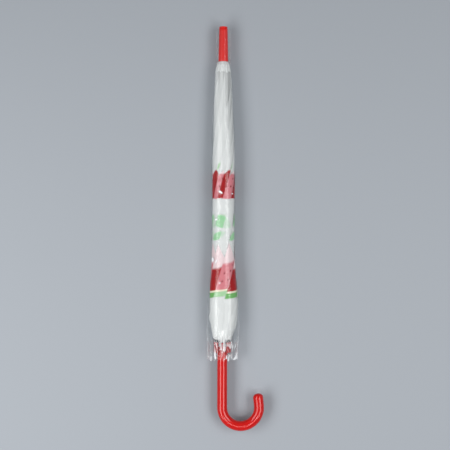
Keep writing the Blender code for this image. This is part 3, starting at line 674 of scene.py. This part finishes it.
def clear_film(name):
    """Thin cast polypropylene film: it shows by its reflections, by the white of its creases and flakes, and by
    painted sheen down its sides and painted highlights on its crumples.
    """
    made, tree = new_material(name)
    flat = add_node(tree, "ShaderNodeUVMap", uv_map="flat").outputs["UV"]
    # Fine puckers, drawn out along the sleeve
    stretch = add_node(
        tree,
        "ShaderNodeMapping",
        {"Vector": flat, "Scale": (1000 / PUCKERS_MM[0], 1000 / PUCKERS_MM[1], 1.0)},
    ).outputs["Vector"]
    pucker = add_node(
        tree, "ShaderNodeTexNoise", {"Vector": stretch, "Scale": 1.0, "Detail": 3.0, "Distortion": 0.4}
    ).outputs["Fac"]
    bump = add_node(
        tree, "ShaderNodeBump", {"Height": pucker, "Strength": 0.5, "Distance": 0.0015}
    ).outputs["Normal"]
    clear = add_node(
        tree, "ShaderNodeBsdfTransparent", {"Color": rgba(linear("#fdfefe"))}
    ).outputs["BSDF"]
    gloss = add_node(
        tree,
        "ShaderNodeBsdfGlossy",
        {"Color": rgba(linear("#ffffff")), "Roughness": 0.14, "Normal": bump},
    ).outputs["BSDF"]
    facing = add_node(tree, "ShaderNodeFresnel", {"IOR": 1.5, "Normal": bump}).outputs["Fac"]
    shine = add_node(
        tree,
        "ShaderNodeMapRange",
        {"Value": facing, "From Min": 0.0, "From Max": 0.3, "To Min": 0.0, "To Max": 0.22},
    ).outputs["Result"]
    film = add_node(tree, "ShaderNodeMixShader", {0: shine, 1: clear, 2: gloss}).outputs["Shader"]
    # White flakes where the film has been crushed, leaning a little
    strips = add_node(
        tree,
        "ShaderNodeMapping",
        {
            "Vector": flat,
            "Scale": (1000 / FLAKES_MM[0], 1000 / FLAKES_MM[1], 1.0),
            "Rotation": (0, 0, 0.12),
        },
    ).outputs["Vector"]
    flakes = add_node(
        tree, "ShaderNodeTexNoise", {"Vector": strips, "Scale": 1.0, "Detail": 2.0, "Distortion": 0.6}
    ).outputs["Fac"]
    white = add_node(
        tree, "ShaderNodeMapRange", {"Value": flakes, "From Min": 0.51, "From Max": 0.58, "To Max": 0.7}
    ).outputs["Result"]
    # The crease attribute holds the white of creases and, down the sleeve's sides, painted sheen
    crease = add_node(tree, "ShaderNodeAttribute", attribute_name="crease").outputs["Fac"]
    crushed = add_node(tree, "ShaderNodeAttribute", attribute_name="crushed").outputs["Fac"]
    wear_and_sheen = add_node(
        tree, "ShaderNodeMath", {0: crushed, 1: white, 2: crease}, operation="MULTIPLY_ADD"
    ).outputs["Value"]
    # Each painted glint is a painted highlight: white at its middle, fading out over its outer half
    for across, down, long, wide, lean in PAINTED_GLINTS:
        place = local_place(tree, flat, across, down, lean)
        sized = add_node(
            tree, "ShaderNodeVectorMath", {0: place, 1: (long, wide, 1.0)}, operation="DIVIDE"
        ).outputs["Vector"]
        reach = add_node(tree, "ShaderNodeVectorMath", {0: sized}, operation="LENGTH").outputs["Value"]
        painted_glint = add_node(
            tree, "ShaderNodeMapRange", {"Value": reach, "From Min": 0.5, "To Min": 0.95, "To Max": 0.0}
        ).outputs["Result"]
        wear_and_sheen = add_node(tree, "ShaderNodeMath", {0: wear_and_sheen, 1: painted_glint}, operation="MAXIMUM").outputs["Value"]
    # The white of the creases and flakes, and of the painted sheen and painted highlights
    creased_and_glinting = add_node(
        tree,
        "ShaderNodeBsdfPrincipled",
        {"Base Color": rgba(linear("#f6f8fa")), "Roughness": 0.3, "Normal": bump},
    ).outputs["BSDF"]
    both = add_node(tree, "ShaderNodeMixShader", {0: wear_and_sheen, 1: film, 2: creased_and_glinting}).outputs["Shader"]
    add_node(tree, "ShaderNodeOutputMaterial", {"Surface": both})
    return made


# Operators


class UMBRELLA_OT_handle(bpy.types.Operator):
    """Model the red J handle, with a rounded end and the socket that takes the shaft"""

    bl_idname = "umbrella.handle"
    bl_label = "Handle"

    sides = 56
    bend_steps = 64
    # Rows of faces along the shank, down its socket and along the hook's straight end
    shank_rows = 14
    socket_rows = 2
    end_rows = 4

    def execute(self, context):
        sizes = context.scene.umbrella_sizes
        colours = context.scene.umbrella_colours
        radius = (HANDLE_HIGH.z - HANDLE_LOW.z) / 2
        hook = (HANDLE_HIGH.x - HANDLE_LOW.x) / 2 - radius
        bend = HANDLE_LOW.y + hook + radius
        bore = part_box("shaft")[1].x - AXIS_X
        shape = bmesh.new()
        upright = Matrix.Translation((AXIS_X, bend, AXIS_Z)) @ Matrix.Rotation(math.pi / 2, 4, "X")
        ring = bmesh.ops.create_circle(shape, radius=radius, segments=self.sides, matrix=upright)["verts"]
        edge = list({link for vert in ring for link in vert.link_edges})
        top = self.lengthen(shape, edge, Vector((0, HANDLE_HIGH.y - bend, 0)), self.shank_rows)
        hub = self.lengthen(shape, top, Vector((0, 0, 0)), 1)
        self.shrink(shape, hub, bore / radius, HANDLE_HIGH.y)
        self.lengthen(shape, hub, Vector((0, -hook, 0)), self.socket_rows)
        spun = bmesh.ops.spin(
            shape,
            geom=edge,
            cent=(AXIS_X + hook, bend, AXIS_Z),
            axis=(0, 0, 1),
            dvec=(0, 0, 0),
            angle=sizes.hook_sweep,
            steps=self.bend_steps,
            use_merge=False,
            use_duplicate=False,
        )
        end = [item for item in spun["geom_last"] if isinstance(item, bmesh.types.BMEdge)]
        heading = Vector((math.sin(sizes.hook_sweep), -math.cos(sizes.hook_sweep), 0))
        end = self.lengthen(shape, end, heading * sizes.hook_end, self.end_rows)
        self.dome(shape, end, heading, radius)
        bmesh.ops.recalc_face_normals(shape, faces=shape.faces)
        rim = [link for link in shape.edges if link in set(top)]
        bmesh.ops.bevel(
            shape, geom=rim, offset=sizes.rim, segments=4, profile=0.5, affect="EDGES", material=-1
        )
        look = moulded_plastic(
            "red gloss ABS", tuple(colours.handle), roughness=0.1, grain_mm=1.5, peel_strength=0.015
        )
        handle = add_piece("handle_moulding", shape, look, "stick")
        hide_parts("handle")
        return {"FINISHED"}

    def lengthen(self, shape, edges, by, steps):
        """Extrudes a ring of edges in equal steps, and gives the last ring."""
        for _ in range(steps):
            made = bmesh.ops.extrude_edge_only(shape, edges=edges)["geom"]
            verts = [item for item in made if isinstance(item, bmesh.types.BMVert)]
            edges = [item for item in made if isinstance(item, bmesh.types.BMEdge)]
            edges = [link for link in edges if all(vert in verts for vert in link.verts)]
            bmesh.ops.translate(shape, verts=verts, vec=by / steps)
        return edges

    def shrink(self, shape, edges, factor, along):
        """Scales a ring of edges about the shaft."""
        verts = list({vert for link in edges for vert in link.verts})
        middle = Matrix.Translation((-AXIS_X, -along, -AXIS_Z))
        bmesh.ops.scale(shape, verts=verts, vec=(factor, 1, factor), space=middle)

    def dome(self, shape, edges, heading, radius):
        """Closes the end of the hook with a rounded cap."""
        steps = 8
        flatness = 0.75
        last_ring = 0.03
        before = 0.0
        for i in range(1, steps + 1):
            turn = math.pi / 2 * i / steps
            rise = flatness * radius * (math.sin(turn) - math.sin(before))
            edges = self.lengthen(shape, edges, heading * rise, 1)
            verts = list({vert for link in edges for vert in link.verts})
            middle = sum((vert.co for vert in verts), Vector()) / len(verts)
            factor = max(math.cos(turn), last_ring) / math.cos(before)
            bmesh.ops.scale(
                shape, verts=verts, vec=(factor,) * 3, space=Matrix.Translation(-middle)
            )
            before = turn
        bmesh.ops.contextual_create(shape, geom=edges)


class UMBRELLA_OT_ferrule(bpy.types.Operator):
    """Turn the red ferrule, with its rounded rim, the groove under it and the socket for the shaft"""

    bl_idname = "umbrella.ferrule"
    bl_label = "Ferrule"

    def execute(self, context):
        sizes = context.scene.umbrella_sizes
        colours = context.scene.umbrella_colours
        tip = sizes.ferrule_tip
        rim = sizes.rim
        base = (FERRULE_HIGH.x - FERRULE_LOW.x) / 2
        top = FERRULE_HIGH.y
        low = FERRULE_LOW.y
        slope = (base - tip) / (top - low)
        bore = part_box("shaft")[1].x - AXIS_X
        groove = top - 2.6 * rim
        foot = 0.6 * rim
        socket = low + 0.4 * (top - low)
        rows = 12
        outline = [(0, top), (tip * 0.5, top)]
        outline += arc((tip - rim, top - rim), rim, 90, 0, 5)
        outline += [(tip + slope * rim, groove + rim)]
        outline += arc((tip + slope * rim, groove), rim * 0.9, 90, 270, 8)
        outline += [(tip + slope * 4 * rim, groove - rim)]
        for i in range(1, rows):
            along = groove - rim - (groove - low - 2 * rim) * i / rows
            outline.append((tip + slope * (top - along), along))
        outline += arc((base - foot, low + foot), foot, 0, -90, 4)
        outline += [(bore, low), (bore, socket), (0, socket)]
        shape = turned(outline, steps=64)
        bmesh.ops.translate(shape, verts=shape.verts, vec=(AXIS_X, 0, AXIS_Z))
        look = moulded_plastic("red satin ABS", tuple(colours.ferrule), roughness=0.34, grain_mm=0.8)
        ferrule = add_piece("ferrule_moulding", shape, look, "stick")
        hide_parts("ferrule")
        return {"FINISHED"}


class UMBRELLA_OT_rib_tips(bpy.types.Operator):
    """Turn a red tip for the end of each rib, with a collar and a rounded nose"""

    bl_idname = "umbrella.rib_tips"
    bl_label = "Rib tips"

    def execute(self, context):
        colours = context.scene.umbrella_colours
        look = moulded_plastic("red polypropylene", tuple(colours.tips), roughness=0.28, grain_mm=0.6)
        collar = 0.0022
        chamfer = 0.0003
        step = 0.0004
        for k in RIBS:
            hinge = Vector(JOINTS[f"rib_{k}_turn"]["pos_m"])
            node = NODES[f"rib_tip_{k}"]
            low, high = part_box(node.name)
            line = ((low + high) / 2 - hinge).normalized()
            spots = [vert.co - hinge for vert in node.data.vertices]
            reach = [spot.dot(line) for spot in spots]
            start, end = min(reach), max(reach)
            radius = max((spot - line * far).length for spot, far in zip(spots, reach))
            bore = radius * 0.62
            waist = radius * 0.8
            nose = radius * 0.9
            outline = [(bore, start), (radius * 0.94, start)]
            outline += [(radius, start + chamfer), (radius, start + collar)]
            outline += [(radius * 0.86, start + collar + step), (waist, (start + end) / 2)]
            outline += [(nose, end - 2 * radius)]
            outline += arc((0, end - nose), nose, 0, 90, 7)
            outline = outline[:-1] + [(0, end)]
            shape = turned(outline, steps=28)
            turn = Vector((0, 1, 0)).rotation_difference(line).to_matrix().to_4x4()
            bmesh.ops.transform(shape, verts=shape.verts, matrix=Matrix.Translation(hinge) @ turn)
            tip = add_piece(f"rib_tip_moulding_{k}", shape, look, f"rib_{k}")
            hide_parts(node.name)
        return {"FINISHED"}


class UMBRELLA_OT_frame(bpy.types.Operator):
    """Give the shaft, crown, runner, ribs, stretchers, pins and springs their finishes"""

    bl_idname = "umbrella.frame"
    bl_label = "Frame finishes"

    def execute(self, context):
        colours = context.scene.umbrella_colours
        white = tuple(colours.white)
        black = tuple(colours.coating)
        looks = {
            "shaft": coated_steel("white powder coated steel", white, roughness=0.3, grain_mm=0.5),
            "crown": moulded_plastic("white acetal", white, roughness=0.38, grain_mm=0.7),
            "rib": coated_steel("black coated steel", black, roughness=0.36, grain_mm=0.4),
            "pin": plated_steel("nickel plated steel", tuple(colours.steel)),
        }
        kinds = {
            "shaft_coating": "shaft",
            "white_plastic": "crown",
            "black_steel": "rib",
            "plated_steel": "pin",
        }
        for part in frame["record"]["subparts"]:
            kind = kinds.get(part["material_slot"])
            if kind:
                node = NODES[part["node"]]
                node.data.materials.clear()
                node.data.materials.append(looks[kind])
        return {"FINISHED"}


# Deep pleats that run down from the crown, as (turn in degrees, length)
CROWN_FOLDS = ((26, 0.085), (-38, 0.06), (102, 0.10), (170, 0.07), (-105, 0.09))
# Their depth, their width in radians, and how far below the canopy's top they have their full depth
FOLD_DEPTH = 0.0042
FOLD_WIDTH = 0.085
FOLD_START = 0.012
# How many degrees each gore stops short of an even winding, in full below this share of its length
STOPS_SHORT = (39, 39, 24, 8, 10, 22, 42, 55)
SHORT_BELOW = 0.4
# One gore is drawn back for a stretch under the crown, which opens a slit beside its fold
PARTED_LEAF = 1
PARTED_BY = math.radians(19)
PARTED_TO = 0.066
PARTED_ENDS = 0.028
# How full the roll stays toward the ribs, and how sharply the two layers close up at the fold
FULLNESS = 1.5
CLOSE_UP = 12
# Share of the half gore beside the fold that stands off the roll
FOLD_EDGE = 0.07
# The hem's curve and unevenness, and the share of the film that is loose there
HEM_CURVE = 1.3
RAGGED_HEM = 0.011
LOOSE_SHARE = 0.20
# Gathers at the crown: their height, how far down they run and how far they take to fade
GATHER = 0.0011
GATHER_FALL = 0.20
GATHER_FADE = 0.14


class UMBRELLA_OT_canopy(bpy.types.Operator):
    """Roll the film canopy: each gore folded in two and wound round the ribs, over its neighbours"""

    bl_idname = "umbrella.canopy"
    bl_label = "Rolled canopy"

    columns = 96
    rows = 84

    def execute(self, context):
        sizes = context.scene.umbrella_sizes
        colours = context.scene.umbrella_colours
        look = milky_film("milky polyethylene film", colours, haze=0.30, ink=0.84)
        for k in RIBS:
            shape = film_sheet(
                self.columns, self.rows, lambda u, v, k=k: self.wound(sizes, k, u, v), fold=True
            )
            leaf = add_piece(f"canopy_leaf_{k}", shape, look, "stick")
            film = self.spanned(sizes, look, k)
            hem = 2 * self.half_width(sizes, HEM)
            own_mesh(leaf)
        return {"FINISHED"}

    def wrap(self, sizes, along, k=None):
        """How far a folded gore winds. Rolled by hand, the gores stop short by different amounts."""
        drop = CANOPY_TOP - along
        down = drop / (CANOPY_TOP - HEM)
        winding = sizes.first_wrap + 2 * math.pi * sizes.leaf_turns * down
        if k is None:
            return winding
        winding -= math.radians(STOPS_SHORT[k - 1]) * min(down / SHORT_BELOW, 1)
        if k == PARTED_LEAF:
            parted = smooth(drop / PARTED_ENDS) * (1 - smooth((drop - PARTED_TO) / PARTED_ENDS))
            winding -= PARTED_BY * parted
        return winding

    def half_width(self, sizes, along):
        """Half the width of the flat gore, which is as long as its winding."""
        mean = (between(CANOPY_ROWS, LEAST, along) + between(CANOPY_ROWS, WIDE, along)) / 2
        return mean * self.wrap(sizes, along)

    def wound(self, sizes, k, across, down):
        """A point of a folded gore. It leaves one rib, winds round the roll to its fold and comes back."""
        out = 1 - abs(2 * across - 1)
        outer = across > 0.5
        ragged = RAGGED_HEM * noise.noise(Vector((across * 11, k * 3.3, 12.0)))
        hem = HEM + sizes.rib_bare + sizes.hem_rise * out**HEM_CURVE + ragged
        along = CANOPY_TOP + (hem - CANOPY_TOP) * down
        turn = rib_turn(k) - self.wrap(sizes, along, k) * out
        if outer:
            turn += GORE_ANGLE * (1 - out) ** 2
        inner = between(CANOPY_ROWS, LEAST, along) + sizes.layer_gap
        radius = inner + max(roll_radius(along, turn) - inner, 0) * (1 - (1 - out) ** FULLNESS)
        gap = sizes.layer_gap * (1 - out**CLOSE_UP)
        radius += gap / 2 if outer else -gap / 2
        flat_across = (2 * across - 1) * self.half_width(sizes, along)
        # The film lies smooth where it leaves its ribs
        radius += self.wrinkles(sizes, k, along, turn, flat_across) * smooth(out * 4)
        radius += self.edge_lift(sizes, k, along, out)
        radius += self.crown_pleats(along, turn) * out
        loose = smooth((down - 1 + LOOSE_SHARE) / LOOSE_SHARE)
        radius += loose * self.hem_pleats(sizes, k, along, turn, flat_across) * smooth(out * 3)
        flat = (flat_across + self.stagger(k), CANOPY_TOP - along)
        return around(along, turn, radius), flat

    def wrinkles(self, sizes, k, along, turn, flat_across):
        """Creases that run down the film. The layers share most of them, and each gore adds its own."""
        crease = streaks(turn, 5.0, along * 14)
        broad = streaks(turn, 1.8, along * 9 + 40)
        own = noise.noise(Vector((flat_across * 60, along * 9, k * 5.1)))
        return sizes.wrinkle * (crease + 1.2 * broad + 0.25 * own)

    def edge_lift(self, sizes, k, along, out):
        """How far the folded edge stands off the roll, which is more in some places."""
        edge = smooth((out - 1 + FOLD_EDGE) / FOLD_EDGE)
        return sizes.fold_lift * edge * (0.5 + 0.5 * noise.noise(Vector((along * 25, k * 9.1, 2.0))))

    def crown_pleats(self, along, turn):
        """Gathers and deep pleats that run down from the crown."""
        drop = CANOPY_TOP - along
        height = GATHER * smooth((GATHER_FALL - drop) / GATHER_FADE) * streaks(turn, 4.5, along * 5)
        for fold, fall in CROWN_FOLDS:
            aside = math.remainder(turn - math.radians(fold), 2 * math.pi)
            depth = smooth(drop / FOLD_START) * smooth((fall - drop) / (0.6 * fall))
            height -= FOLD_DEPTH * depth * math.exp(-((aside / FOLD_WIDTH) ** 2))
        return height

    def hem_pleats(self, sizes, k, along, turn, flat_across):
        """Loose pleats at the hem, which the layers share, with a small ripple for each gore."""
        pleat = streaks(turn, 5.5, along * 7 + 20)
        ripple = noise.noise(Vector((flat_across * 140, along * 9, k * 2.3 + 80)))
        return sizes.hem_flare * (0.9 * pleat + 0.2 * ripple - 0.1)

    def stagger(self, k):
        """Every other gore is cut half a repeat further along the print."""
        return 0.0 if k % 2 else REPEAT / 2

    def spanned(self, sizes, look, k):
        """The same gore between its two ribs: a narrow strip, as it lies when closed."""
        columns, rows = 30, 40
        zone = 0.0015
        under_crown = 0.004
        under_ribs = 0.0001
        top = CANOPY_TOP - under_crown
        middle = rib_turn(k) + GORE_ANGLE / 2
        outward = Vector((math.sin(middle), 0, math.cos(middle)))
        aside = Vector((math.cos(middle), 0, -math.sin(middle)))

        def strip(across, down):
            share = min(max((across * columns - 1) / (columns - 2), 0), 1)
            rise = 4 * share * (1 - share)
            along = top + (HEM + sizes.rib_bare + sizes.hem_rise * rise - top) * down
            radius = between(CANOPY_ROWS, LEAST, along) - under_ribs
            half = radius * math.sin(GORE_ANGLE / 2)
            # This is the inverse of an ease in and out across its zone
            spread = zone * (1 - 2 * math.sin(math.asin(1 - 2 * share) / 3)) - zone
            # The first and last columns reach the ribs
            if across < 0.5 / columns:
                spread = -half
            if across > 1 - 0.5 / columns:
                spread = half
            axis = Vector((AXIS_X, along, AXIS_Z))
            point = axis + outward * (radius * math.cos(GORE_ANGLE / 2)) + aside * spread
            width = self.half_width(sizes, along)
            flat = ((2 * share - 1) * width + self.stagger(k), CANOPY_TOP - along)
            return point, flat

        shape = film_sheet(columns, rows, strip)
        film = add_piece(f"gore_film_{k}", shape, look, None)
        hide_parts(f"gore_{k}")
        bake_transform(film)
        return film


class UMBRELLA_OT_rosette(bpy.types.Operator):
    """Gather the film in pleats round the crown, under the ferrule"""

    bl_idname = "umbrella.rosette"
    bl_label = "Crown rosette"

    def execute(self, context):
        colours = context.scene.umbrella_colours
        base = (FERRULE_HIGH.x - FERRULE_LOW.x) / 2
        top = CAP_TOP
        columns, rows = 204, 24
        neck = base * 0.97
        flare = 0.0062
        frill, ragged = 0.021, 0.006
        pleats, pleat_height = 14, 0.0008
        under_roll = 0.0002
        plain_print = 0.06

        def pleated(across, down):
            turn = 2 * math.pi * across
            ring = Vector((math.cos(turn), math.sin(turn), 0))
            wave = math.sin(pleats * turn + 3 * noise.noise(ring * 1.5 + Vector((0, 0, 3))))
            fall = frill + ragged * noise.noise(ring * 4 + Vector((0, 0, 11)))
            along = top - fall * down
            roll = roll_radius(along, turn) - under_roll
            radius = neck + (roll - neck) * min((top - along) / flare, 1)
            # The pleats deepen below the ferrule and die down toward the frill's edge
            radius += pleat_height * wave * min(down * 3, 1) * (1 - 0.7 * smooth(down * 2 - 1))
            return around(along, turn, radius), (turn * base, plain_print + fall * down)

        shape = film_sheet(columns, rows, pleated, closed=True)
        look = milky_film("gathered polyethylene film", colours, haze=0.5, ink=0.9)
        rosette = add_piece("crown_rosette", shape, look, "stick")
        thicken(rosette, thickness=0.0003)
        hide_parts("crown_cap")
        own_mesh(rosette)
        return {"FINISHED"}


# Radius of the sleeve's tube, which sets its flat width
SLEEVE_RADIUS = 0.022
# The side of the sleeve on which a hand gripped its mouth
GRIP_TURN = math.radians(25)


class UMBRELLA_OT_sleeve(bpy.types.Operator):
    """Draw the clear film sleeve over the rolled canopy, with a loose, crinkled mouth at the handle"""

    bl_idname = "umbrella.sleeve"
    bl_label = "Clear sleeve"

    columns = 128
    rows = 220
    # The loose mouth starts this far above the hem, and the crushed film this far above the mouth
    loose_from = 0.030
    crushed_from = 0.048
    # How white the film is: everywhere, on its ridges, and down its sides where it lies even, loose or taut. Down
    # its sides the white is partly its flat crease and partly painted sheen of film seen edge-on
    haze = 0.006
    ridge_white = 0.05
    side_white = 0.08
    loose_white = 0.16
    taut_white = 0.20
    # Half the width of the pale crease and painted sheen down each side, in radians
    side_width = 0.30
    # The film is taut above the ferrule's foot and loose from this far above the hem, each over a run
    taut_run = 0.01
    loose_top = 0.10
    loose_run = 0.05
    # Crushing on the mouth's far side, and the cosines from the grip where it starts to grow and is full
    least_crushed = 0.2
    grip_edge = -0.2
    grip_full = 0.6
    # How far the sleeve stands off the CAD film, and the heights of its long and its short folds
    stand_off = 0.0008
    long_fold = 0.0005
    short_fold = 0.0003
    # The sleeve follows the roll aside, in full from this far above its mouth
    aside_from = 0.1
    # Rise and unevenness of the mouth's edge, and the least gaps to the CAD film's top and to the floor
    mouth_rise = 0.006
    mouth_ragged = 0.008
    top_gap = 0.001
    floor_gap = 0.0002

    def execute(self, context):
        sizes = context.scene.umbrella_sizes
        shape = film_sheet(self.columns, self.rows, lambda u, v: self.drawn(sizes, u, v), closed=True)
        look = clear_film("clear polypropylene film")
        sleeve = add_piece("sleeve_film", shape, look, "sleeve")
        for name, wear_and_sheen in (("crease", self.crease), ("crushed", self.crushed)):
            marks = sleeve.data.attributes.new(name, "FLOAT", "POINT")
            for vert, mark in zip(sleeve.data.vertices, marks.data):
                mark.value = wear_and_sheen(vert.co)
        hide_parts("clear_sleeve")
        # A lay-flat tube, so its flat width is half its girth
        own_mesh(sleeve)
        return {"FINISHED"}

    def pleats(self, turn, along):
        """Long pleats at the loose mouth, from 0 in a valley to 1 on a ridge, and how near the mouth is."""
        start = HEM + self.loose_from
        near = smooth((start - along) / (start - SLEEVE_MOUTH))
        broad = 1 - 2 * abs(streaks(turn, 4.2, along * 5 + 30))
        narrow = 1 - 2 * abs(streaks(turn, 9.0, along * 11 + 60))
        return max(0.65 * broad + 0.35 * narrow, 0), near

    def crease(self, point):
        """How white the film is, on the ridges of its pleats and down its sides, where part of the white is
        painted sheen.
        """
        turn = math.atan2(point.x - AXIS_X, point.z - AXIS_Z)
        ridge, near = self.pleats(turn, point.y)
        # The tube was made flat, so a pale crease runs down each side. Its white there is partly painted sheen of
        # the film seen edge-on
        side = (abs(turn) - math.pi / 2) / self.side_width
        taut = smooth((point.y - FERRULE_LOW.y) / self.taut_run)
        loose = smooth((HEM + self.loose_top - point.y) / self.loose_run)
        folded = self.side_white + self.loose_white * loose + self.taut_white * taut
        return self.haze + self.ridge_white * near * ridge + folded * math.exp(-side * side)

    def crushed(self, point):
        """How much the film has been crushed: at the mouth, and most where a hand gripped it."""
        turn = math.atan2(point.x - AXIS_X, point.z - AXIS_Z)
        facing = (math.cos(turn - GRIP_TURN) - self.grip_edge) / (self.grip_full - self.grip_edge)
        gripped = self.least_crushed + (1 - self.least_crushed) * smooth(facing)
        above = point.y - SLEEVE_MOUTH
        return gripped * smooth((self.crushed_from - above) / (0.5 * self.crushed_from))

    def drawn(self, sizes, across, down):
        """A point of the sleeve, drawn down from the ferrule over the roll."""
        turn = 2 * math.pi * across
        mouth = SLEEVE_MOUTH + self.mouth_rise + self.mouth_ragged * streaks(turn, 5, 7)
        top = SLEEVE_TOP - self.top_gap
        along = top + (mouth - top) * down
        wide = between(SLEEVE_ROWS, WIDE, along)
        high = between(SLEEVE_ROWS, HIGH, along)
        radius = oval(wide, high, turn) + self.stand_off
        follows = smooth((along - SLEEVE_MOUTH) / self.aside_from)
        radius += roll_aside(along) * max(math.sin(turn), 0) * follows
        # Long folds that run down the sleeve, and shorter ones among them
        radius += self.long_fold * streaks(turn, 2.6, along * 3)
        radius += self.short_fold * streaks(turn, 6.0, along * 14 + 9)
        ridge, near = self.pleats(turn, along)
        radius += near * sizes.crinkle * (ridge - 1)
        point = around(along, turn, radius)
        point.z = max(point.z, self.floor_gap)
        return point, (turn * SLEEVE_RADIUS, SLEEVE_TOP - along)


# The camera: width of its view, height, place across and along the shaft, and roll in degrees
FRAME_WIDTH = 0.891
CAMERA_AWAY = 2.2
CAMERA_ASIDE = 0.0045
CAMERA_UP = 0.0078
CAMERA_ROLL = 0.2
# Half the width of the floor, and the size of its grain
FLOOR_HALF = 12
FLOOR_GRAIN_MM = 4
# The lights, as (name, place beside the shaft, lean in degrees about X and Y, distance, size, watts)
LIGHTS = (
    # The two long ones show as the two lines on the handle, and the last as the line on the hook's bend
    ("softbox_left", (0, -0.50, 0), (0, -40), 1.7, (0.72, 1.9), 23),
    ("softbox_right", (0, -0.35, 0), (0, 35), 2.3, (0.95, 2.0), 32),
    ("front_light", (0.1, -0.42, 0), (13, 0), 2.6, (0.7, 0.10), 7),
)


class UMBRELLA_OT_stage(bpy.types.Operator):
    """Set the floor, the soft lights and the camera that looks straight down"""

    bl_idname = "umbrella.stage"
    bl_label = "Stage"

    def execute(self, context):
        scene = context.scene
        colours = scene.umbrella_colours
        scene.view_settings.view_transform = "Standard"
        scene.cycles.transparent_max_bounces = 64
        self.floor(scene, colours)
        self.world(scene)
        for light in LIGHTS:
            self.softbox(scene, *light)
        view = bpy.data.cameras.new("overhead")
        camera = bpy.data.objects.new("overhead", view)
        scene.collection.objects.link(camera)
        view.sensor_width = 36
        view.lens = view.sensor_width * CAMERA_AWAY / FRAME_WIDTH
        camera.location = (AXIS_X + CAMERA_ASIDE, CAMERA_UP, AXIS_Z + CAMERA_AWAY)
        camera.rotation_euler.z = math.radians(CAMERA_ROLL)
        scene.camera = camera
        return {"FINISHED"}

    def floor(self, scene, colours):
        """A plain matt floor, with a grain that hardly shows."""
        shape = bmesh.new()
        bmesh.ops.create_grid(shape, x_segments=1, y_segments=1, size=FLOOR_HALF)
        mesh = bpy.data.meshes.new("floor")
        shape.to_mesh(mesh)
        shape.free()
        floor = bpy.data.objects.new("floor", mesh)
        scene.collection.objects.link(floor)
        made, tree = new_material("matt grey laminate")
        place = add_node(tree, "ShaderNodeTexCoord").outputs["Object"]
        grain = add_node(
            tree, "ShaderNodeTexNoise", {"Vector": place, "Scale": 1000 / FLOOR_GRAIN_MM, "Detail": 3.0}
        ).outputs["Fac"]
        dark = tuple(0.985 * c for c in colours.floor)
        shade = add_node(
            tree,
            "ShaderNodeMix",
            {"Factor": grain, 6: rgba(dark), 7: rgba(colours.floor)},
            data_type="RGBA",
        ).outputs[2]
        shader = add_node(
            tree, "ShaderNodeBsdfPrincipled", {"Base Color": shade, "Roughness": 0.7, "IOR": 1.4}
        )
        add_node(tree, "ShaderNodeOutputMaterial", {"Surface": shader.outputs["BSDF"]})
        mesh.materials.append(made)

    def world(self, scene):
        """Soft, slightly cool light from all round."""
        world = scene.world or bpy.data.worlds.new("studio")
        scene.world = world
        world.use_nodes = True
        tree = world.node_tree
        tree.nodes.clear()
        soft = add_node(
            tree, "ShaderNodeBackground", {"Color": rgba(linear("#e9edf2")), "Strength": 0.29}
        ).outputs["Background"]
        add_node(tree, "ShaderNodeOutputWorld", {"Surface": soft})

    def softbox(self, scene, name, middle, lean, away, size, power):
        """A soft light over the umbrella, leaned from straight up about X and Y."""
        light = bpy.data.lights.new(name, "AREA")
        light.shape = "RECTANGLE"
        light.size, light.size_y = size
        light.energy = power
        lamp = bpy.data.objects.new(name, light)
        scene.collection.objects.link(lamp)
        turn = Euler((math.radians(lean[0]), math.radians(lean[1]), 0))
        target = Vector((AXIS_X, 0, AXIS_Z)) + Vector(middle)
        lamp.location = target + turn.to_matrix() @ Vector((0, 0, away))
        lamp.rotation_euler = turn


class UMBRELLA_PT_panel(bpy.types.Panel):
    """Lists the steps that dress the umbrella"""

    bl_label = "Clear bubble umbrella"
    bl_idname = "UMBRELLA_PT_panel"
    bl_space_type = "VIEW_3D"
    bl_region_type = "UI"
    bl_category = "Umbrella"

    def draw(self, context):
        for step in STEPS:
            self.layout.operator(step.bl_idname)
        for group in (context.scene.umbrella_sizes, context.scene.umbrella_colours):
            box = self.layout.box()
            for name in group.__annotations__:
                box.prop(group, name)


STEPS = (
    UMBRELLA_OT_stage,
    UMBRELLA_OT_frame,
    UMBRELLA_OT_handle,
    UMBRELLA_OT_ferrule,
    UMBRELLA_OT_rib_tips,
    UMBRELLA_OT_rosette,
    UMBRELLA_OT_canopy,
    UMBRELLA_OT_sleeve,
)
CLASSES = (UmbrellaSizes, UmbrellaColours, *STEPS, UMBRELLA_PT_panel)


def register():
    for item in CLASSES:
        bpy.utils.register_class(item)
    bpy.types.Scene.umbrella_sizes = bpy.props.PointerProperty(type=UmbrellaSizes)
    bpy.types.Scene.umbrella_colours = bpy.props.PointerProperty(type=UmbrellaColours)


def unregister():
    del bpy.types.Scene.umbrella_colours
    del bpy.types.Scene.umbrella_sizes
    for item in reversed(CLASSES):
        bpy.utils.unregister_class(item)


def main():
    register()
    for step in STEPS:
        group, name = step.bl_idname.split(".")
        getattr(getattr(bpy.ops, group), name)()


if __name__ == "__main__":
    main()
